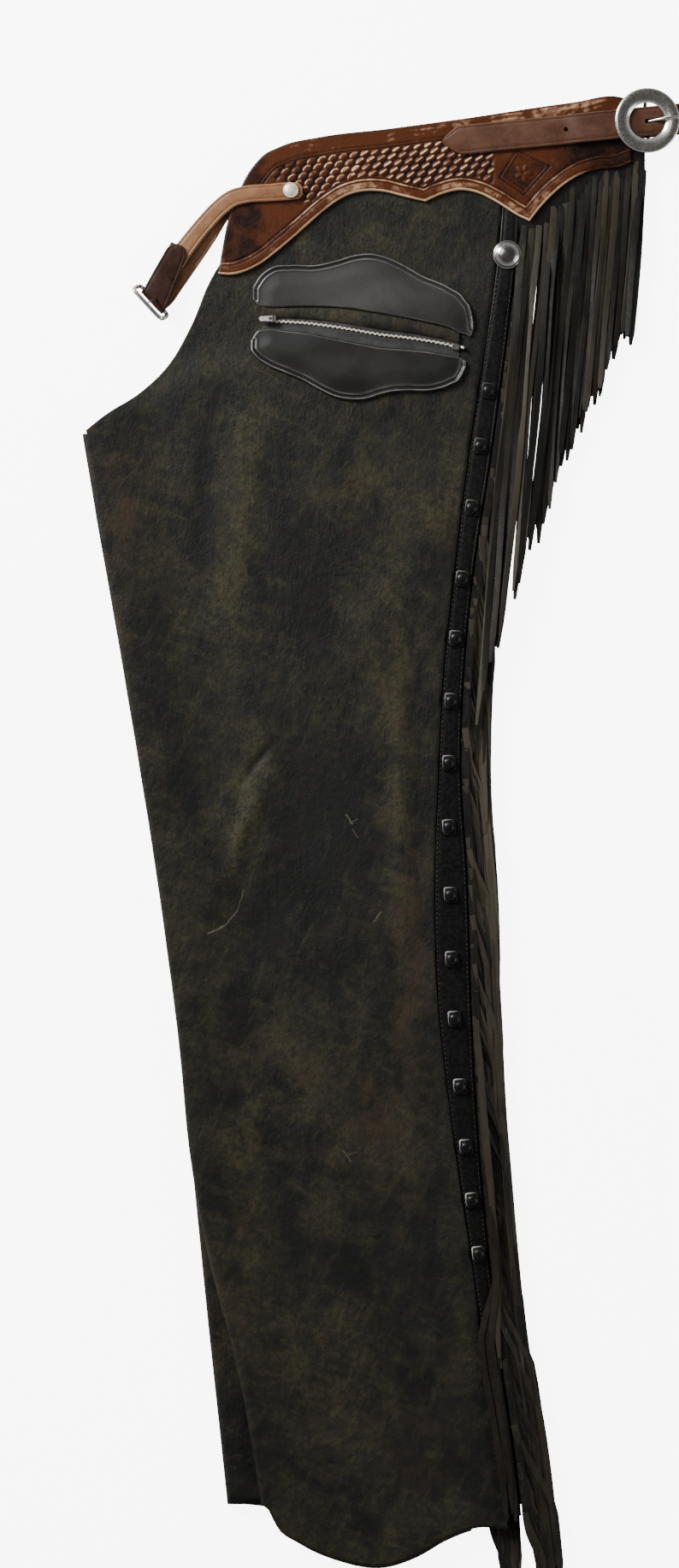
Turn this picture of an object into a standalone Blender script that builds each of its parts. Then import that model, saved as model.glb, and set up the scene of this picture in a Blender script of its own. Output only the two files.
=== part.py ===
"""Fringed leather chaps, folded in half and laid flat: the left leg on top, the right leg under it.

+Z is up off the surface, +Y runs towards the waist and +X towards the outseam.
Sizes and places are in millimetres, and become metres where a mesh is made.
"""

import math
import random

import bmesh
import bpy
import numpy as np
from mathutils import Matrix, Vector

MM = 0.001
UP = Vector((0.0, 0.0, 1.0))

# Leather and seams
LEATHER = 1.8
YOKE_THICKNESS = 2.6
STRAP_THICKNESS = 2.2
THIN_STRAP = 2.0
CHAPE_THICKNESS = 1.6
STRIP_THICKNESS = 1.6
SEAM = 0.3
LAYER_GAP = 0.8
LEG_GAP = 0.6

# The fold at the inseam
FOLD_RADIUS = 2.6
FOLD_REACH = 50.0
FOLD_STEPS = 4

# How the layers are stacked, as the heights of their middles
FAR_FRONT = LEATHER / 2
PLY = LEATHER + LAYER_GAP
NEAR_YOKE_BASE = 7.4
NEAR_TOP_LEVEL = 6.1
YOKE_LIFT = YOKE_THICKNESS + SEAM
YOKE_RAMP = (-60.0, -25.0)
BACK_TOP_RAMP = 35.0

# The leg's length, and the grid it is drawn on
HEM_Y = -485.0
TIP = (-223.2, 291.4)
BACK_TOP_OUTER = (97.0, 408.0)
FRONT_HEM_OUTER_Y = -503.0
FRONT_TIP_ROW_OUTER_Y = 400.0
FRONT_TOP_OUTER_Y = 520.0
LEG_ROWS = 20
TOP_ROWS = 8
FOLD_COLUMNS = (0.0, 4.0, 10.0, 18.0, 28.0, 40.0, 55.0)
WIDE_COLUMNS = 7
HEM_DIP = 36.0
HEM_DIP_REACH = 140.0
HEM_LAG = {"left": 0.0, "right": 0.15}
FRINGE_LAP = 7.0
STRIP_TOP_Y = 446.0
STRIP_HEM_Y = -493.0
STRIP_SEAM = 0.45
STRIP_SINK = 0.4
STRIP_TOP_RISE = 0.8

# Where the inseam fold lies, from the hem up to the crotch point
FOLD = (
    ("y", "x"),
    (
        (-486, -118.0),
        (-435, -123.4),
        (-361, -131.4),
        (-262, -141.4),
        (-138, -154.4),
        (11, -175.5),
        (160, -200.3),
        (234, -213.3),
        (292, -223.2),
    ),
)

# How far the right leg slips out to the left from under the left one
SLIP = (
    ("y", "shift"),
    ((-545, 28.0), (-485, 25.0), (-386, 18.0), (-300, 5.0), (-240, 0.0), (-140, 0.0), (530, 0.0)),
)

# The outseam: the front panel's edge and the closure strip's outer edge
OUTSEAM = (
    ("y", "panel", "strip"),
    (
        (-545, 89.0, 101.0),
        (-448, 80.0, 90.0),
        (-373, 68.0, 79.0),
        (-309, 58.9, 71.9),
        (-200, 43.4, 62.4),
        (-116, 34.1, 58.3),
        (-32, 32.2, 55.8),
        (45, 34.7, 51.2),
        (118, 38.4, 53.3),
        (184, 45.3, 59.5),
        (284, 57.7, 74.4),
        (402, 75.6, 89.3),
        (430, 79.0, 92.0),
        (523, 83.0, 96.0),
    ),
)

# The crotch curve and, under the yoke, the front panel's inner edge
CROTCH = (
    ("x", "y"),
    (
        (-223.2, 291.4),
        (-204.6, 306.3),
        (-181.7, 321.2),
        (-160.5, 342.0),
        (-144.0, 371.0),
        (-132.5, 399.0),
        (-122.0, 417.0),
        (-104.0, 440.0),
        (-92.0, 464.0),
        (-84.0, 488.0),
    ),
)

# The front panel's hem, as a share of how far it dips below a straight line
HEM_CURVE = (
    ("across", "dip"),
    (
        (0.0, 0.0),
        (0.05, 0.45),
        (0.12, 0.66),
        (0.3, 0.96),
        (0.48, 1.0),
        (0.62, 0.72),
        (0.75, 0.3),
        (0.88, 0.02),
        (1.0, 0.0),
    ),
)

# Soft ridges that stand in the left leg's front panel
RIDGES = (
    ("x0", "y0", "x1", "y1", "height", "width"),
    (
        (-84.0, 67.0, -131.0, -69.0, 1.3, 17.0),
        (30.0, 250.0, -40.0, 120.0, 0.9, 26.0),
        (-60.0, -180.0, -20.0, -420.0, 1.2, 30.0),
    ),
)

# The yoke's edges, from the front end to the back end
YOKE_TOP = (
    ("x", "y"),
    (
        (-124.6, 408.0),
        (-119.0, 440.2),
        (-108.5, 470.0),
        (-93.6, 492.3),
        (-80.6, 499.7),
        (-49.6, 507.2),
        (-3.7, 512.7),
        (34.1, 517.7),
        (64.5, 522.0),
        (104.8, 528.2),
        (132.0, 532.0),
        (168.0, 535.7),
    ),
)
YOKE_LOW = (
    ("x", "y", "corner"),
    (
        (-124.6, 408.0, 1),
        (-115.9, 407.3, 0),
        (-96.1, 414.2, 0),
        (-75.0, 430.3, 0),
        (-60.8, 442.7, 0),
        (-46.5, 455.1, 0),
        (-32.2, 464.4, 0),
        (-24.8, 466.9, 0),
        (-6.8, 467.8, 0),
        (10.5, 463.8, 0),
        (25.4, 460.4, 1),
        (37.2, 465.6, 0),
        (50.8, 468.7, 0),
        (64.5, 466.2, 0),
        (78.1, 459.4, 0),
        (91.8, 450.7, 0),
        (101.1, 446.1, 1),
        (109.1, 456.3, 0),
        (122.8, 470.0, 0),
        (136.4, 479.3, 0),
        (150.0, 484.2, 0),
        (166.2, 486.1, 0),
        (174.5, 489.5, 1),
    ),
)
YOKE_END = (174.5, 533.5)

# The pocket: two shaped pieces and the zip between them
POCKET_UPPER = (
    ("x", "top", "bottom"),
    (
        (-99.6, 398.0, 390.0),
        (-96.0, 404.2, 385.8),
        (-86.8, 412.3, 383.8),
        (-72.5, 414.5, 384.1),
        (-54.0, 414.5, 384.3),
        (-38.4, 417.9, 383.6),
        (-26.0, 421.6, 382.3),
        (-14.9, 422.8, 380.4),
        (-3.1, 420.4, 378.4),
        (10.5, 414.2, 376.0),
        (23.6, 406.7, 373.3),
        (42.8, 398.0, 368.5),
        (54.6, 388.7, 363.8),
        (59.5, 379.0, 364.5),
        (60.6, 373.0, 368.5),
    ),
)
POCKET_LOWER = (
    ("x", "top", "bottom"),
    (
        (-101.0, 359.0, 352.0),
        (-97.0, 365.5, 347.0),
        (-90.5, 367.6, 342.2),
        (-75.6, 366.2, 335.4),
        (-62.6, 364.8, 329.8),
        (-51.5, 362.6, 323.6),
        (-40.3, 360.3, 318.3),
        (-29.1, 358.0, 316.2),
        (-17.4, 355.6, 316.6),
        (-7.4, 353.9, 319.6),
        (1.9, 353.2, 321.8),
        (12.4, 352.4, 322.4),
        (31.6, 350.3, 323.0),
        (43.4, 348.2, 326.7),
        (51.5, 346.4, 332.3),
        (55.2, 344.0, 340.0),
    ),
)
ZIP_X = (-93.0, 50.0)
ZIP_INSET = 0.5
POCKET_THICKNESS = 1.6
ZIP_THICKNESS = 1.1
POCKET_CLEARANCE = 0.45

# The zip's slider and the pull tab on it
SLIDER_AT = (-86.0, 375.0)
SLIDER = (7.0, 4.6, 2.0)
SLIDER_LUG = (1.6, 1.2, 1.9)
PULL_LENGTH = 9.0
PULL_WIDTH = 3.6
PULL_THICKNESS = 0.8
PULL_NOTCH = (2.6, 2.0)
PULL_AXIS_LIFT = 1.2
PULL_DROOP = math.radians(9.0)
PULL_EAR = 0.7
PULL_CHAMFER = (1.2, 1.0)
SLIDER_CORNER = 1.2
SLIDER_CLEARANCE = 0.35
SLIDER_SPAN = (8, 3)

# The closure's snaps, down the outseam strip
SNAP_ROWS = (
    323.0, 282.9, 238.1, 186.6, 143.4, 98.0, 53.0, 6.5, -42.6, -89.1, -132.5, -181.5, -225.5, -264.1, -303.0,
)
SNAP_INSET = 0.4
TAB = (9.6, 11.5, 1.3)
SNAP_RADIUS = 4.4
SNAP_HEIGHT = 2.4
CONCHO_AT = (85.0, 421.6)
CONCHO_RADIUS = 10.4
CONCHO_DOME = (
    ("share", "height"),
    ((0.0, 4.4), (0.35, 4.1), (0.65, 3.1), (0.8, 1.9), (0.9, 1.5), (1.0, 0.9), (1.0, 0.0), (0.0, 0.0)),
)
SNAP_DOME = (("share", "height"), ((0.0, 1.0), (0.55, 0.86), (0.9, 0.45), (1.0, 0.0), (0.0, 0.0)))
SNAP_STEPS = 10
CONCHO_STEPS = 20

# Fringe
STRAND_WIDTH = 3.6
FRINGE_THICKNESS = 1.4
LEG_STRAND = 225.0
LEG_STRAND_PITCH = 44.0
LEG_STRAND_START = 3.0
LEG_STRAND_DRIFT = 0.1
LEG_FRINGE_TOP = 392.0
LEG_FRINGE_BOTTOM = -497.0
FRINGE_LOWEST = -541.3
FRINGE_BACKING = 5.6
FRINGE_SEAM = 0.8
FRINGE_REACH = 27.0
FRINGE_SAG = 3.4
FRINGE_STEPS = (2.5, 9.0, 30.0, 90.0, 160.0)
FRINGE_STEP_SPARE = 12.0
FRINGE_PLY_GAP = 0.4
FRINGE_ROOTS = (384.0, 362.0, 374.0)
FAR_FRINGE_BASE = 0.4
FRINGE_END = 2.0
STRAND_TURN = (0.7, 0.71)
STRAND_TURN_DROP = 1.6
STRAND_TIP_SHARE = 0.72
STRAND_SHORTER = (-14.0, 10.0)
TIPS_AT_HEM = (2.0, 26.0)
LEG_TIPS_LOWEST = 3
HIP_LEAN = -0.085
HIP_PITCH = 4.6
HIP_STRAND = 3.9
HIP_LEVEL = 6.35
FAR_HIP_LEVEL = 3.7
HIP_OVER_LEVEL = 12.3
HIP_DROP = 0.9
FAR_HIP_DROP = 2.0
HIP_DROP_REACH = 120.0
HIP_CLIMB_REACH = 20.0
HIP_CLIMB_START = 1.0
HIP_FIRST_CLIMB = 0.27
HIP_TIP_SHARE = 0.7
HIP_STRAND_SHARE = 0.96
HIP_TIP_UNEVEN = 9.0
HIP_CLIMB_STEPS = (7.0, 24.0, 90.0, 190.0)
HIP_STEPS = (20.0, 80.0)
HIP_STEP_SPARE = 15.0
HIP_HEADER_EDGE = 0.5
HIP_X = (93.5, 185.5)
FAR_HIP_X = (122.0, 184.0)
HIP_CLIMB_X = 118.0
HIP_HEADER = (
    ("x", "top", "cut"),
    (
        (93.0, 466.0, 419.0),
        (101.1, 462.0, 417.0),
        (122.8, 482.0, 436.0),
        (136.4, 491.0, 450.0),
        (150.0, 496.0, 457.0),
        (166.2, 498.0, 462.0),
        (186.0, 501.0, 468.0),
    ),
)
HIP_TIPS = (
    ("x", "y"),
    (
        (92.0, 80.0),
        (97.0, 96.0),
        (102.0, 132.0),
        (108.0, 152.0),
        (115.0, 186.0),
        (125.0, 214.0),
        (135.0, 254.0),
        (145.0, 279.0),
        (157.0, 307.0),
        (166.0, 326.0),
        (176.0, 356.0),
        (187.0, 369.0),
    ),
)

# The back strap and its round buckle
BUCKLE_AT = (186.0, 517.7)
STRAP_SLOPE = math.radians(5.6)
BACK_STRAP_WIDTH = 21.0
CHAPE_WIDTH = 20.0
BAR_RADIUS = 1.3
BAR_Z = NEAR_YOKE_BASE + YOKE_THICKNESS / 2
RIM_BASE = 15.2
STRAP_HIGH = 13.6
STRAP_LOW = 11.5
STRAP_FAR = 4.0
STRAP_TIP = -148.8
LOOP_CENTRE = 30.4
CHAPE_LENGTH = 40.0
CHAPE_RADIUS = BAR_RADIUS + SEAM + CHAPE_THICKNESS / 2
CHAPE_UNDER = 8.0
PRONG_SLOT_AT = (3.8, 0.0, 12.6)
PRONG_SLOT = (10.6, 3.2, 7.4)
RIM_STEPS = 32
RIM_PROFILE = (
    ("radius", "height"),
    ((22.9, 2.6), (23.5, 1.6), (23.1, 0.3), (14.8, 0.0), (14.3, 0.8), (15.0, 2.0)),
)
BACK_BAR = (
    ("across", "height"),
    ((18.0, RIM_BASE + 1.2), (15.0, RIM_BASE - 0.1), (13.0, 12.6), (12.4, 10.2), (11.6, BAR_Z)),
)
BACK_PRONG_RADIUS = 1.05
BACK_PRONG = (
    ("along", "height"),
    ((0.3, 11.6), (2.5, 12.9), (7.6, 16.4), (12.5, 18.9), (17.0, 19.3), (24.6, 19.25)),
)
BACK_STRAP = (
    ("along", "height", "width"),
    (
        (STRAP_TIP, STRAP_LOW, 3.0),
        (STRAP_TIP + 6.0, STRAP_LOW, 12.5),
        (STRAP_TIP + 13.0, STRAP_LOW, BACK_STRAP_WIDTH),
        (-100.0, STRAP_LOW, BACK_STRAP_WIDTH),
        (-62.0, STRAP_LOW, BACK_STRAP_WIDTH),
        (-46.0, STRAP_HIGH, BACK_STRAP_WIDTH),
        (-14.0, STRAP_HIGH, BACK_STRAP_WIDTH),
        (12.0, STRAP_HIGH, BACK_STRAP_WIDTH),
    ),
)
STRAP_UNDER = (0.0, -45.0)

# The front straps and their small buckle
FRONT_STRAP_WIDTH = 12.4
FRONT_SNAP_AT = (-71.9, 467.8)
FRONT_SNAP_RADIUS = 5.6
FRONT_SNAP_STEPS = 16
FRONT_SNAP_DOME = (
    ("share", "height"),
    ((0.0, 2.6), (0.5, 2.35), (0.85, 1.5), (1.0, 0.5), (1.0, 0.0), (0.0, 0.0)),
)
FRONT_STRAP_LEVEL = 11.4
FRONT_STRAP = (
    ("x", "y", "z", "width"),
    (
        (-63.5, 467.6, FRONT_STRAP_LEVEL, 6.0),
        (-66.0, 467.6, FRONT_STRAP_LEVEL, 11.0),
        (-71.9, 467.4, FRONT_STRAP_LEVEL, 12.4),
        (-88.0, 466.2, FRONT_STRAP_LEVEL, 12.4),
        (-103.0, 465.2, FRONT_STRAP_LEVEL, 12.4),
        (-114.0, 462.4, 11.3, 12.4),
        (-123.0, 456.0, 10.6, 12.4),
        (-132.0, 447.0, 9.2, 12.4),
        (-140.7, 437.1, 7.5, 12.6),
        (-147.6, 428.4, 6.3, 13.0),
        (-155.0, 418.0, 6.0, 13.4),
        (-163.0, 404.0, 6.0, 14.0),
    ),
)
RIGHT_FRONT_STRAP = (
    ("x", "y", "z", "width"),
    (
        (-108.0, 464.0, 3.9, 12.4),
        (-117.3, 457.5, 3.9, 12.4),
        (-132.7, 435.1, 3.9, 12.4),
        (-138.0, 427.5, 1.8, 12.4),
        (-147.0, 414.5, 1.35, 12.4),
        (-156.3, 401.0, 1.35, 12.4),
        (-163.8, 390.2, 1.35, 12.0),
        (-167.0, 385.6, 1.35, 9.0),
    ),
)
FRONT_BAR_AT = (-171.0, 389.0, 6.0)
FRONT_BAR_ANGLE = math.radians(-47.3)
SLEEVE_TOP = (-152.2, 428.7)
SLEEVE_WIDTHS = (14.5, 22.0)
SLEEVE_GAP = 2.4
FRONT_FRAME = (15.0, 14.0)
FRONT_FRAME_TILT = math.radians(62.0)
FRONT_WIRE = 1.5
FRONT_CORNER = 4.0
FRONT_PRONG_RADIUS = 0.9
FRONT_PRONG_AWAY = 2.8
FRONT_PRONG_PAST = 1.0
FRONT_SLOT_AT = (0.0, -0.5, 1.6)
FRONT_SLOT = (3.0, 8.6, 5.6)
SLEEVE_SHARES = (0.0, 0.35, 0.7, 0.9)

COLOURS = {
    "leg_leather": ((0.030, 0.029, 0.020), 0.62, 0.0),
    "yoke_leather": ((0.130, 0.046, 0.018), 0.45, 0.0),
    "strap_leather": ((0.110, 0.040, 0.016), 0.48, 0.0),
    "front_strap_leather": ((0.260, 0.135, 0.070), 0.55, 0.0),
    "dark_leather": ((0.014, 0.014, 0.014), 0.45, 0.0),
    "pocket_leather": ((0.030, 0.030, 0.032), 0.42, 0.0),
    "chape_leather": ((0.085, 0.036, 0.022), 0.5, 0.0),
    "zip_tape": ((0.018, 0.018, 0.018), 0.8, 0.0),
    "black_snap": ((0.012, 0.012, 0.013), 0.3, 0.6),
    "nickel": ((0.62, 0.60, 0.57), 0.2, 1.0),
}


def column(table, name):
    heads, rows = table
    place = heads.index(name)
    return np.array([row[place] for row in rows], float)


def curve_through(keys, values, at):
    """A smooth curve through a table's points, read at one key or at many."""
    at = np.clip(at, keys[0], keys[-1])
    slopes = np.gradient(values, keys)
    left = np.clip(np.searchsorted(keys, at) - 1, 0, len(keys) - 2)
    step = keys[left + 1] - keys[left]
    t = (at - keys[left]) / step
    rise = (values[left + 1] - values[left]) * t * t * (3 - 2 * t)
    bend = step * t * (1 - t) * (slopes[left] * (1 - t) - slopes[left + 1] * t)
    return values[left] + rise + bend


def read(table, key, name, at):
    return curve_through(column(table, key), column(table, name), at)


def smooth_step(t):
    t = np.clip(t, 0.0, 1.0)
    return t * t * (3.0 - 2.0 * t)


def slip(y, leg):
    """How far the right leg lies to the left of the left leg at this height."""
    return read(SLIP, "y", "shift", y) if leg == "right" else 0.0


def fold_x(y, leg):
    """The inseam fold's outer face. The table is the right leg's, which shows below the left leg's."""
    return read(FOLD, "y", "x", y) + read(SLIP, "y", "shift", y) - slip(y, leg)


def panel_x(y, leg="left"):
    return read(OUTSEAM, "y", "panel", y) - slip(y, leg)


def strip_x(y, leg="left"):
    return read(OUTSEAM, "y", "strip", y) - slip(y, leg)


def back_top_y(x):
    """The top edge of the back panels, from the crotch point to the outseam."""
    share = (x - TIP[0]) / (BACK_TOP_OUTER[0] - TIP[0])
    return TIP[1] + share * (BACK_TOP_OUTER[1] - TIP[1])


def yoke_low_y(x):
    return np.interp(x, column(YOKE_LOW, "x"), column(YOKE_LOW, "y"))


def fold_lift(x, y, leg):
    """How much further apart than flat a leg's two panels lie, near its fold."""
    start = fold_x(y, leg) + FOLD_RADIUS + LEATHER / 2
    return (2 * FOLD_RADIUS - PLY) * (1 - smooth_step((x - start) / FOLD_REACH))


def far_front(x, y):
    above = y - yoke_low_y(x) - YOKE_RAMP[0]
    return FAR_FRONT + YOKE_LIFT * smooth_step(above / (YOKE_RAMP[1] - YOKE_RAMP[0]))


def far_back(x, y):
    return FAR_FRONT + PLY + fold_lift(x, y, "right")


def near_back(x, y):
    return far_back(x, y) + LEATHER + LEG_GAP


def ridge_height(x, y):
    total = 0.0
    for x0, y0, x1, y1, height, width in RIDGES[1]:
        along = np.array((x1 - x0, y1 - y0))
        t = np.clip(((x - x0) * along[0] + (y - y0) * along[1]) / (along @ along), 0, 1)
        away = np.hypot(x - x0 - t * along[0], y - y0 - t * along[1]) / width
        total = total + height * np.sin(math.pi * np.clip(t, 0.02, 0.98)) * np.exp(-away * away)
    return total


def near_front(x, y):
    """The middle of the left leg's front panel: it sinks from the leg's stack to the yoke's."""
    on_leg = near_back(x, y) + PLY + fold_lift(x, y, "left") + ridge_height(x, y)
    sink = smooth_step((y - back_top_y(x)) / BACK_TOP_RAMP)
    return on_leg + (NEAR_TOP_LEVEL - on_leg) * sink


def collection(name):
    made = bpy.data.collections.new(name)
    bpy.context.scene.collection.children.link(made)
    return made


def material(name):
    found = bpy.data.materials.get(name)
    if found:
        return found
    colour, roughness, metallic = COLOURS[name]
    made = bpy.data.materials.new(name)
    made.use_nodes = True
    shader = made.node_tree.nodes["Principled BSDF"]
    shader.inputs["Base Color"].default_value = (*colour, 1.0)
    shader.inputs["Roughness"].default_value = roughness
    shader.inputs["Metallic"].default_value = metallic
    return made


def add_object(name, data, finish, target=None):
    made = bpy.data.objects.new(name, data)
    if finish:
        data.materials.append(material(finish))
    (target or bpy.data.collections["leather_chaps"]).objects.link(made)
    return made


def add_mesh(name, points, faces, finish, target=None):
    mesh = bpy.data.meshes.new(name)
    mesh.from_pydata([tuple(c * MM for c in p) for p in points], [], faces)
    mesh.update()
    return add_object(name, mesh, finish, target)


def solidify(thing, thickness, offset=0.0):
    wall = thing.modifiers.new("wall", "SOLIDIFY")
    wall.thickness = thickness * MM
    wall.offset = offset
    wall.use_even_offset = True


def sheet(name, rows, finish, thickness, offset=0.0):
    """A wall on a grid of points, each row as long as the others."""
    wide = len(rows[0])
    points = [p for row in rows for p in row]
    faces = []
    for r in range(len(rows) - 1):
        for c in range(wide - 1):
            corner = r * wide + c
            faces.append((corner, corner + 1, corner + wide + 1, corner + wide))
    made = add_mesh(name, points, faces, finish)
    solidify(made, thickness, offset)
    return made


def leg_line(left, right):
    """Points from the left end to the right, closer together near the fold."""
    left, right = np.array(left), np.array(right)
    width = np.hypot(*(right - left))
    near = [offset / width for offset in FOLD_COLUMNS]
    wide = [near[-1] + (1 - near[-1]) * (i + 1) / WIDE_COLUMNS for i in range(WIDE_COLUMNS)]
    return [(share, left + (right - left) * share) for share in near + wide]


def front_row(k, leg):
    """One row of a front panel, from the fold or the crotch edge to the outseam."""
    if k <= LEG_ROWS:
        share = k / LEG_ROWS
        left_y = HEM_Y + share * (TIP[1] - HEM_Y)
        left = (fold_x(left_y, leg) + FOLD_RADIUS + LEATHER / 2, left_y)
        right_y = FRONT_HEM_OUTER_Y + share * (FRONT_TIP_ROW_OUTER_Y - FRONT_HEM_OUTER_Y)
    else:
        share = (k - LEG_ROWS) / TOP_ROWS
        place = share * (len(CROTCH[1]) - 1)
        places = np.arange(len(CROTCH[1]), dtype=float)
        left = [curve_through(places, column(CROTCH, axis), place) for axis in ("x", "y")]
        right_y = FRONT_TIP_ROW_OUTER_Y + share * (FRONT_TOP_OUTER_Y - FRONT_TIP_ROW_OUTER_Y)
    height = near_front if leg == "left" else far_front
    row = []
    for across, (x, y) in leg_line(left, (panel_x(right_y, leg), right_y)):
        above = (y - HEM_Y) / HEM_DIP_REACH
        dip = HEM_DIP * read(HEM_CURVE, "across", "dip", max(0.0, across - HEM_LAG[leg]))
        dip *= 1 - smooth_step(above)
        row.append((x, y - dip, float(height(x, y - dip))))
    return row


def back_row(k, leg):
    """One row of a back panel, under the front one on the left leg and over it on the right."""
    share = k / LEG_ROWS
    left_y = HEM_Y + share * (TIP[1] - HEM_Y)
    left = (fold_x(left_y, leg) + FOLD_RADIUS + LEATHER / 2, left_y)
    right_y = HEM_Y + share * (BACK_TOP_OUTER[1] - HEM_Y)
    height = near_back if leg == "left" else far_back
    line = leg_line(left, (strip_x(right_y, leg) + FRINGE_LAP, right_y))
    return [(x, y, float(height(x, y))) for _, (x, y) in line]


def make_leg(leg):
    """A leg is one hide: its front panel, the fold at the inseam and its back panel."""
    points, faces = [], []
    front_starts, back_starts, folds = [], [], []
    for k in range(LEG_ROWS + TOP_ROWS + 1):
        front_starts.append(len(points))
        points += front_row(k, leg)
    wide = len(FOLD_COLUMNS) + WIDE_COLUMNS
    for k in range(LEG_ROWS + 1):
        back_starts.append(len(points))
        points += back_row(k, leg)
        front, back = points[front_starts[k]], points[back_starts[k]]
        middle = (front[2] + back[2]) / 2
        radius = (front[2] - back[2]) / 2
        between = []
        for step in range(1, FOLD_STEPS):
            turn = math.pi * step / FOLD_STEPS
            between.append(len(points))
            x = front[0] - abs(radius) * math.sin(turn)
            points.append((x, front[1], middle + radius * math.cos(turn)))
        folds.append([front_starts[k], *between, back_starts[k]])
    for k in range(LEG_ROWS + TOP_ROWS):
        low, high = front_starts[k], front_starts[k + 1]
        faces += [(low + c, low + c + 1, high + c + 1, high + c) for c in range(wide - 1)]
    for k in range(LEG_ROWS):
        low, high = back_starts[k], back_starts[k + 1]
        faces += [(low + c + 1, low + c, high + c, high + c + 1) for c in range(wide - 1)]
        low, high = folds[k], folds[k + 1]
        faces += [(low[c + 1], low[c], high[c], high[c + 1]) for c in range(FOLD_STEPS)]
    made = add_mesh(f"{leg}_leg", points, faces, "leg_leather")
    solidify(made, LEATHER)


def flat_outline(name, points, corners, base, thickness, finish):
    """A flat piece cut to an outline: its corners are sharp and the rest of it is curved."""
    curve = bpy.data.curves.new(name, "CURVE")
    curve.dimensions = "2D"
    curve.fill_mode = "BOTH"
    curve.extrude = thickness / 2 * MM
    curve.resolution_u = 2
    spline = curve.splines.new("BEZIER")
    spline.bezier_points.add(len(points) - 1)
    spline.use_cyclic_u = True
    for knot, (x, y), corner in zip(spline.bezier_points, points, corners):
        knot.co = (x * MM, y * MM, 0.0)
        knot.handle_left_type = knot.handle_right_type = "VECTOR" if corner else "AUTO"
    made = add_object(name, curve, finish)
    made.location = (0.0, 0.0, (base + thickness / 2) * MM)
    return made


def make_yoke(side, base):
    low = list(zip(column(YOKE_LOW, "x"), column(YOKE_LOW, "y")))
    top = list(zip(column(YOKE_TOP, "x"), column(YOKE_TOP, "y")))[1:]
    points = low + [YOKE_END] + top[::-1]
    corners = list(column(YOKE_LOW, "corner")) + [1] + [0] * len(top)
    flat_outline(f"{side}_yoke", points, corners, base, YOKE_THICKNESS, "yoke_leather")


def make_strip(leg):
    """The closure strip beside a front panel's outseam edge, on that leg's back panel."""
    rows = []
    for k in range(LEG_ROWS + 1):
        share = k / LEG_ROWS
        y = FRONT_HEM_OUTER_Y + share * (FRONT_TIP_ROW_OUTER_Y - FRONT_HEM_OUTER_Y)
        rows.append(y)
    rows[0] = STRIP_HEM_Y
    rows.append(STRIP_TOP_Y)
    height = STRIP_THICKNESS / 2
    if leg == "left":
        height += FAR_FRONT + 2 * PLY + LEATHER / 2 + LEG_GAP - STRIP_SINK
    grid = []
    for y in rows:
        z = height + (STRIP_TOP_RISE if leg == "left" and y >= FRONT_TIP_ROW_OUTER_Y else 0.0)
        grid.append([(panel_x(y, leg) + STRIP_SEAM, y, z), (strip_x(y, leg), y, z)])
    sheet(f"{leg}_closure_strip", grid, "dark_leather", STRIP_THICKNESS)
    return height + STRIP_THICKNESS / 2


def turned(name, profile, steps, place, finish, closed=False):
    """A piece turned about its own axis, from a profile of radius and height."""
    mesh = bpy.data.meshes.new(name)
    count = len(profile)
    edges = [(i, (i + 1) % count) for i in range(count if closed else count - 1)]
    mesh.from_pydata([(r * MM, 0.0, z * MM) for r, z in profile], edges, [])
    made = add_object(name, mesh, finish)
    screw = made.modifiers.new("turn", "SCREW")
    screw.steps = screw.render_steps = steps
    screw.use_merge_vertices = True
    screw.merge_threshold = 0.00005
    screw.use_smooth_shade = True
    made.location = [c * MM for c in place]
    return made


def make_closure(strip_top):
    for i, y in enumerate(SNAP_ROWS):
        x = (panel_x(y) + strip_x(y)) / 2 - SNAP_INSET
        bpy.ops.mesh.primitive_cube_add(size=1.0)
        tab = bpy.context.object
        tab.name = tab.data.name = f"closure_tab_{i + 1:02d}"
        tab.data.transform(Matrix.Diagonal((*[s * MM for s in TAB], 1.0)))
        tab.data.materials.append(material("dark_leather"))
        for old in list(tab.users_collection):
            old.objects.unlink(tab)
        bpy.data.collections["leather_chaps"].objects.link(tab)
        lean = math.atan2(strip_x(y + 20) - strip_x(y - 20), 40.0)
        tab.rotation_euler = (0.0, 0.0, -lean)
        base = strip_top + SEAM
        tab.location = (x * MM, y * MM, (base + TAB[2] / 2) * MM)
        dome = [(SNAP_RADIUS * share, SNAP_HEIGHT * height) for share, height in SNAP_DOME[1]]
        place = (x, y, base + TAB[2] + SEAM)
        turned(f"closure_snap_{i + 1:02d}", dome, SNAP_STEPS, place, "black_snap")


def make_concho(strip_top):
    dome = [(CONCHO_RADIUS * share, height) for share, height in CONCHO_DOME[1]]
    place = (*CONCHO_AT, strip_top + STRIP_TOP_RISE + SEAM)
    turned("concho", dome, CONCHO_STEPS, place, "nickel")


def patch(name, table, rows, thickness, finish):
    """A shaped piece that lies on the left leg's front panel, made from the panel's own height."""
    xs, tops, lows = (column(table, head) for head in ("x", "top", "bottom"))
    grid = []
    for r in range(rows + 1):
        share = r / rows
        line = []
        for x, top, low in zip(xs, tops, lows):
            y = low + (top - low) * share
            base = float(near_front(x, y)) + LEATHER / 2 + POCKET_CLEARANCE
            line.append((x, y, base + thickness / 2))
        grid.append(line)
    sheet(name, grid, finish, thickness)


def zip_middle(x):
    upper = np.interp(x, column(POCKET_UPPER, "x"), column(POCKET_UPPER, "bottom"))
    lower = np.interp(x, column(POCKET_LOWER, "x"), column(POCKET_LOWER, "top"))
    return upper, lower


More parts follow.
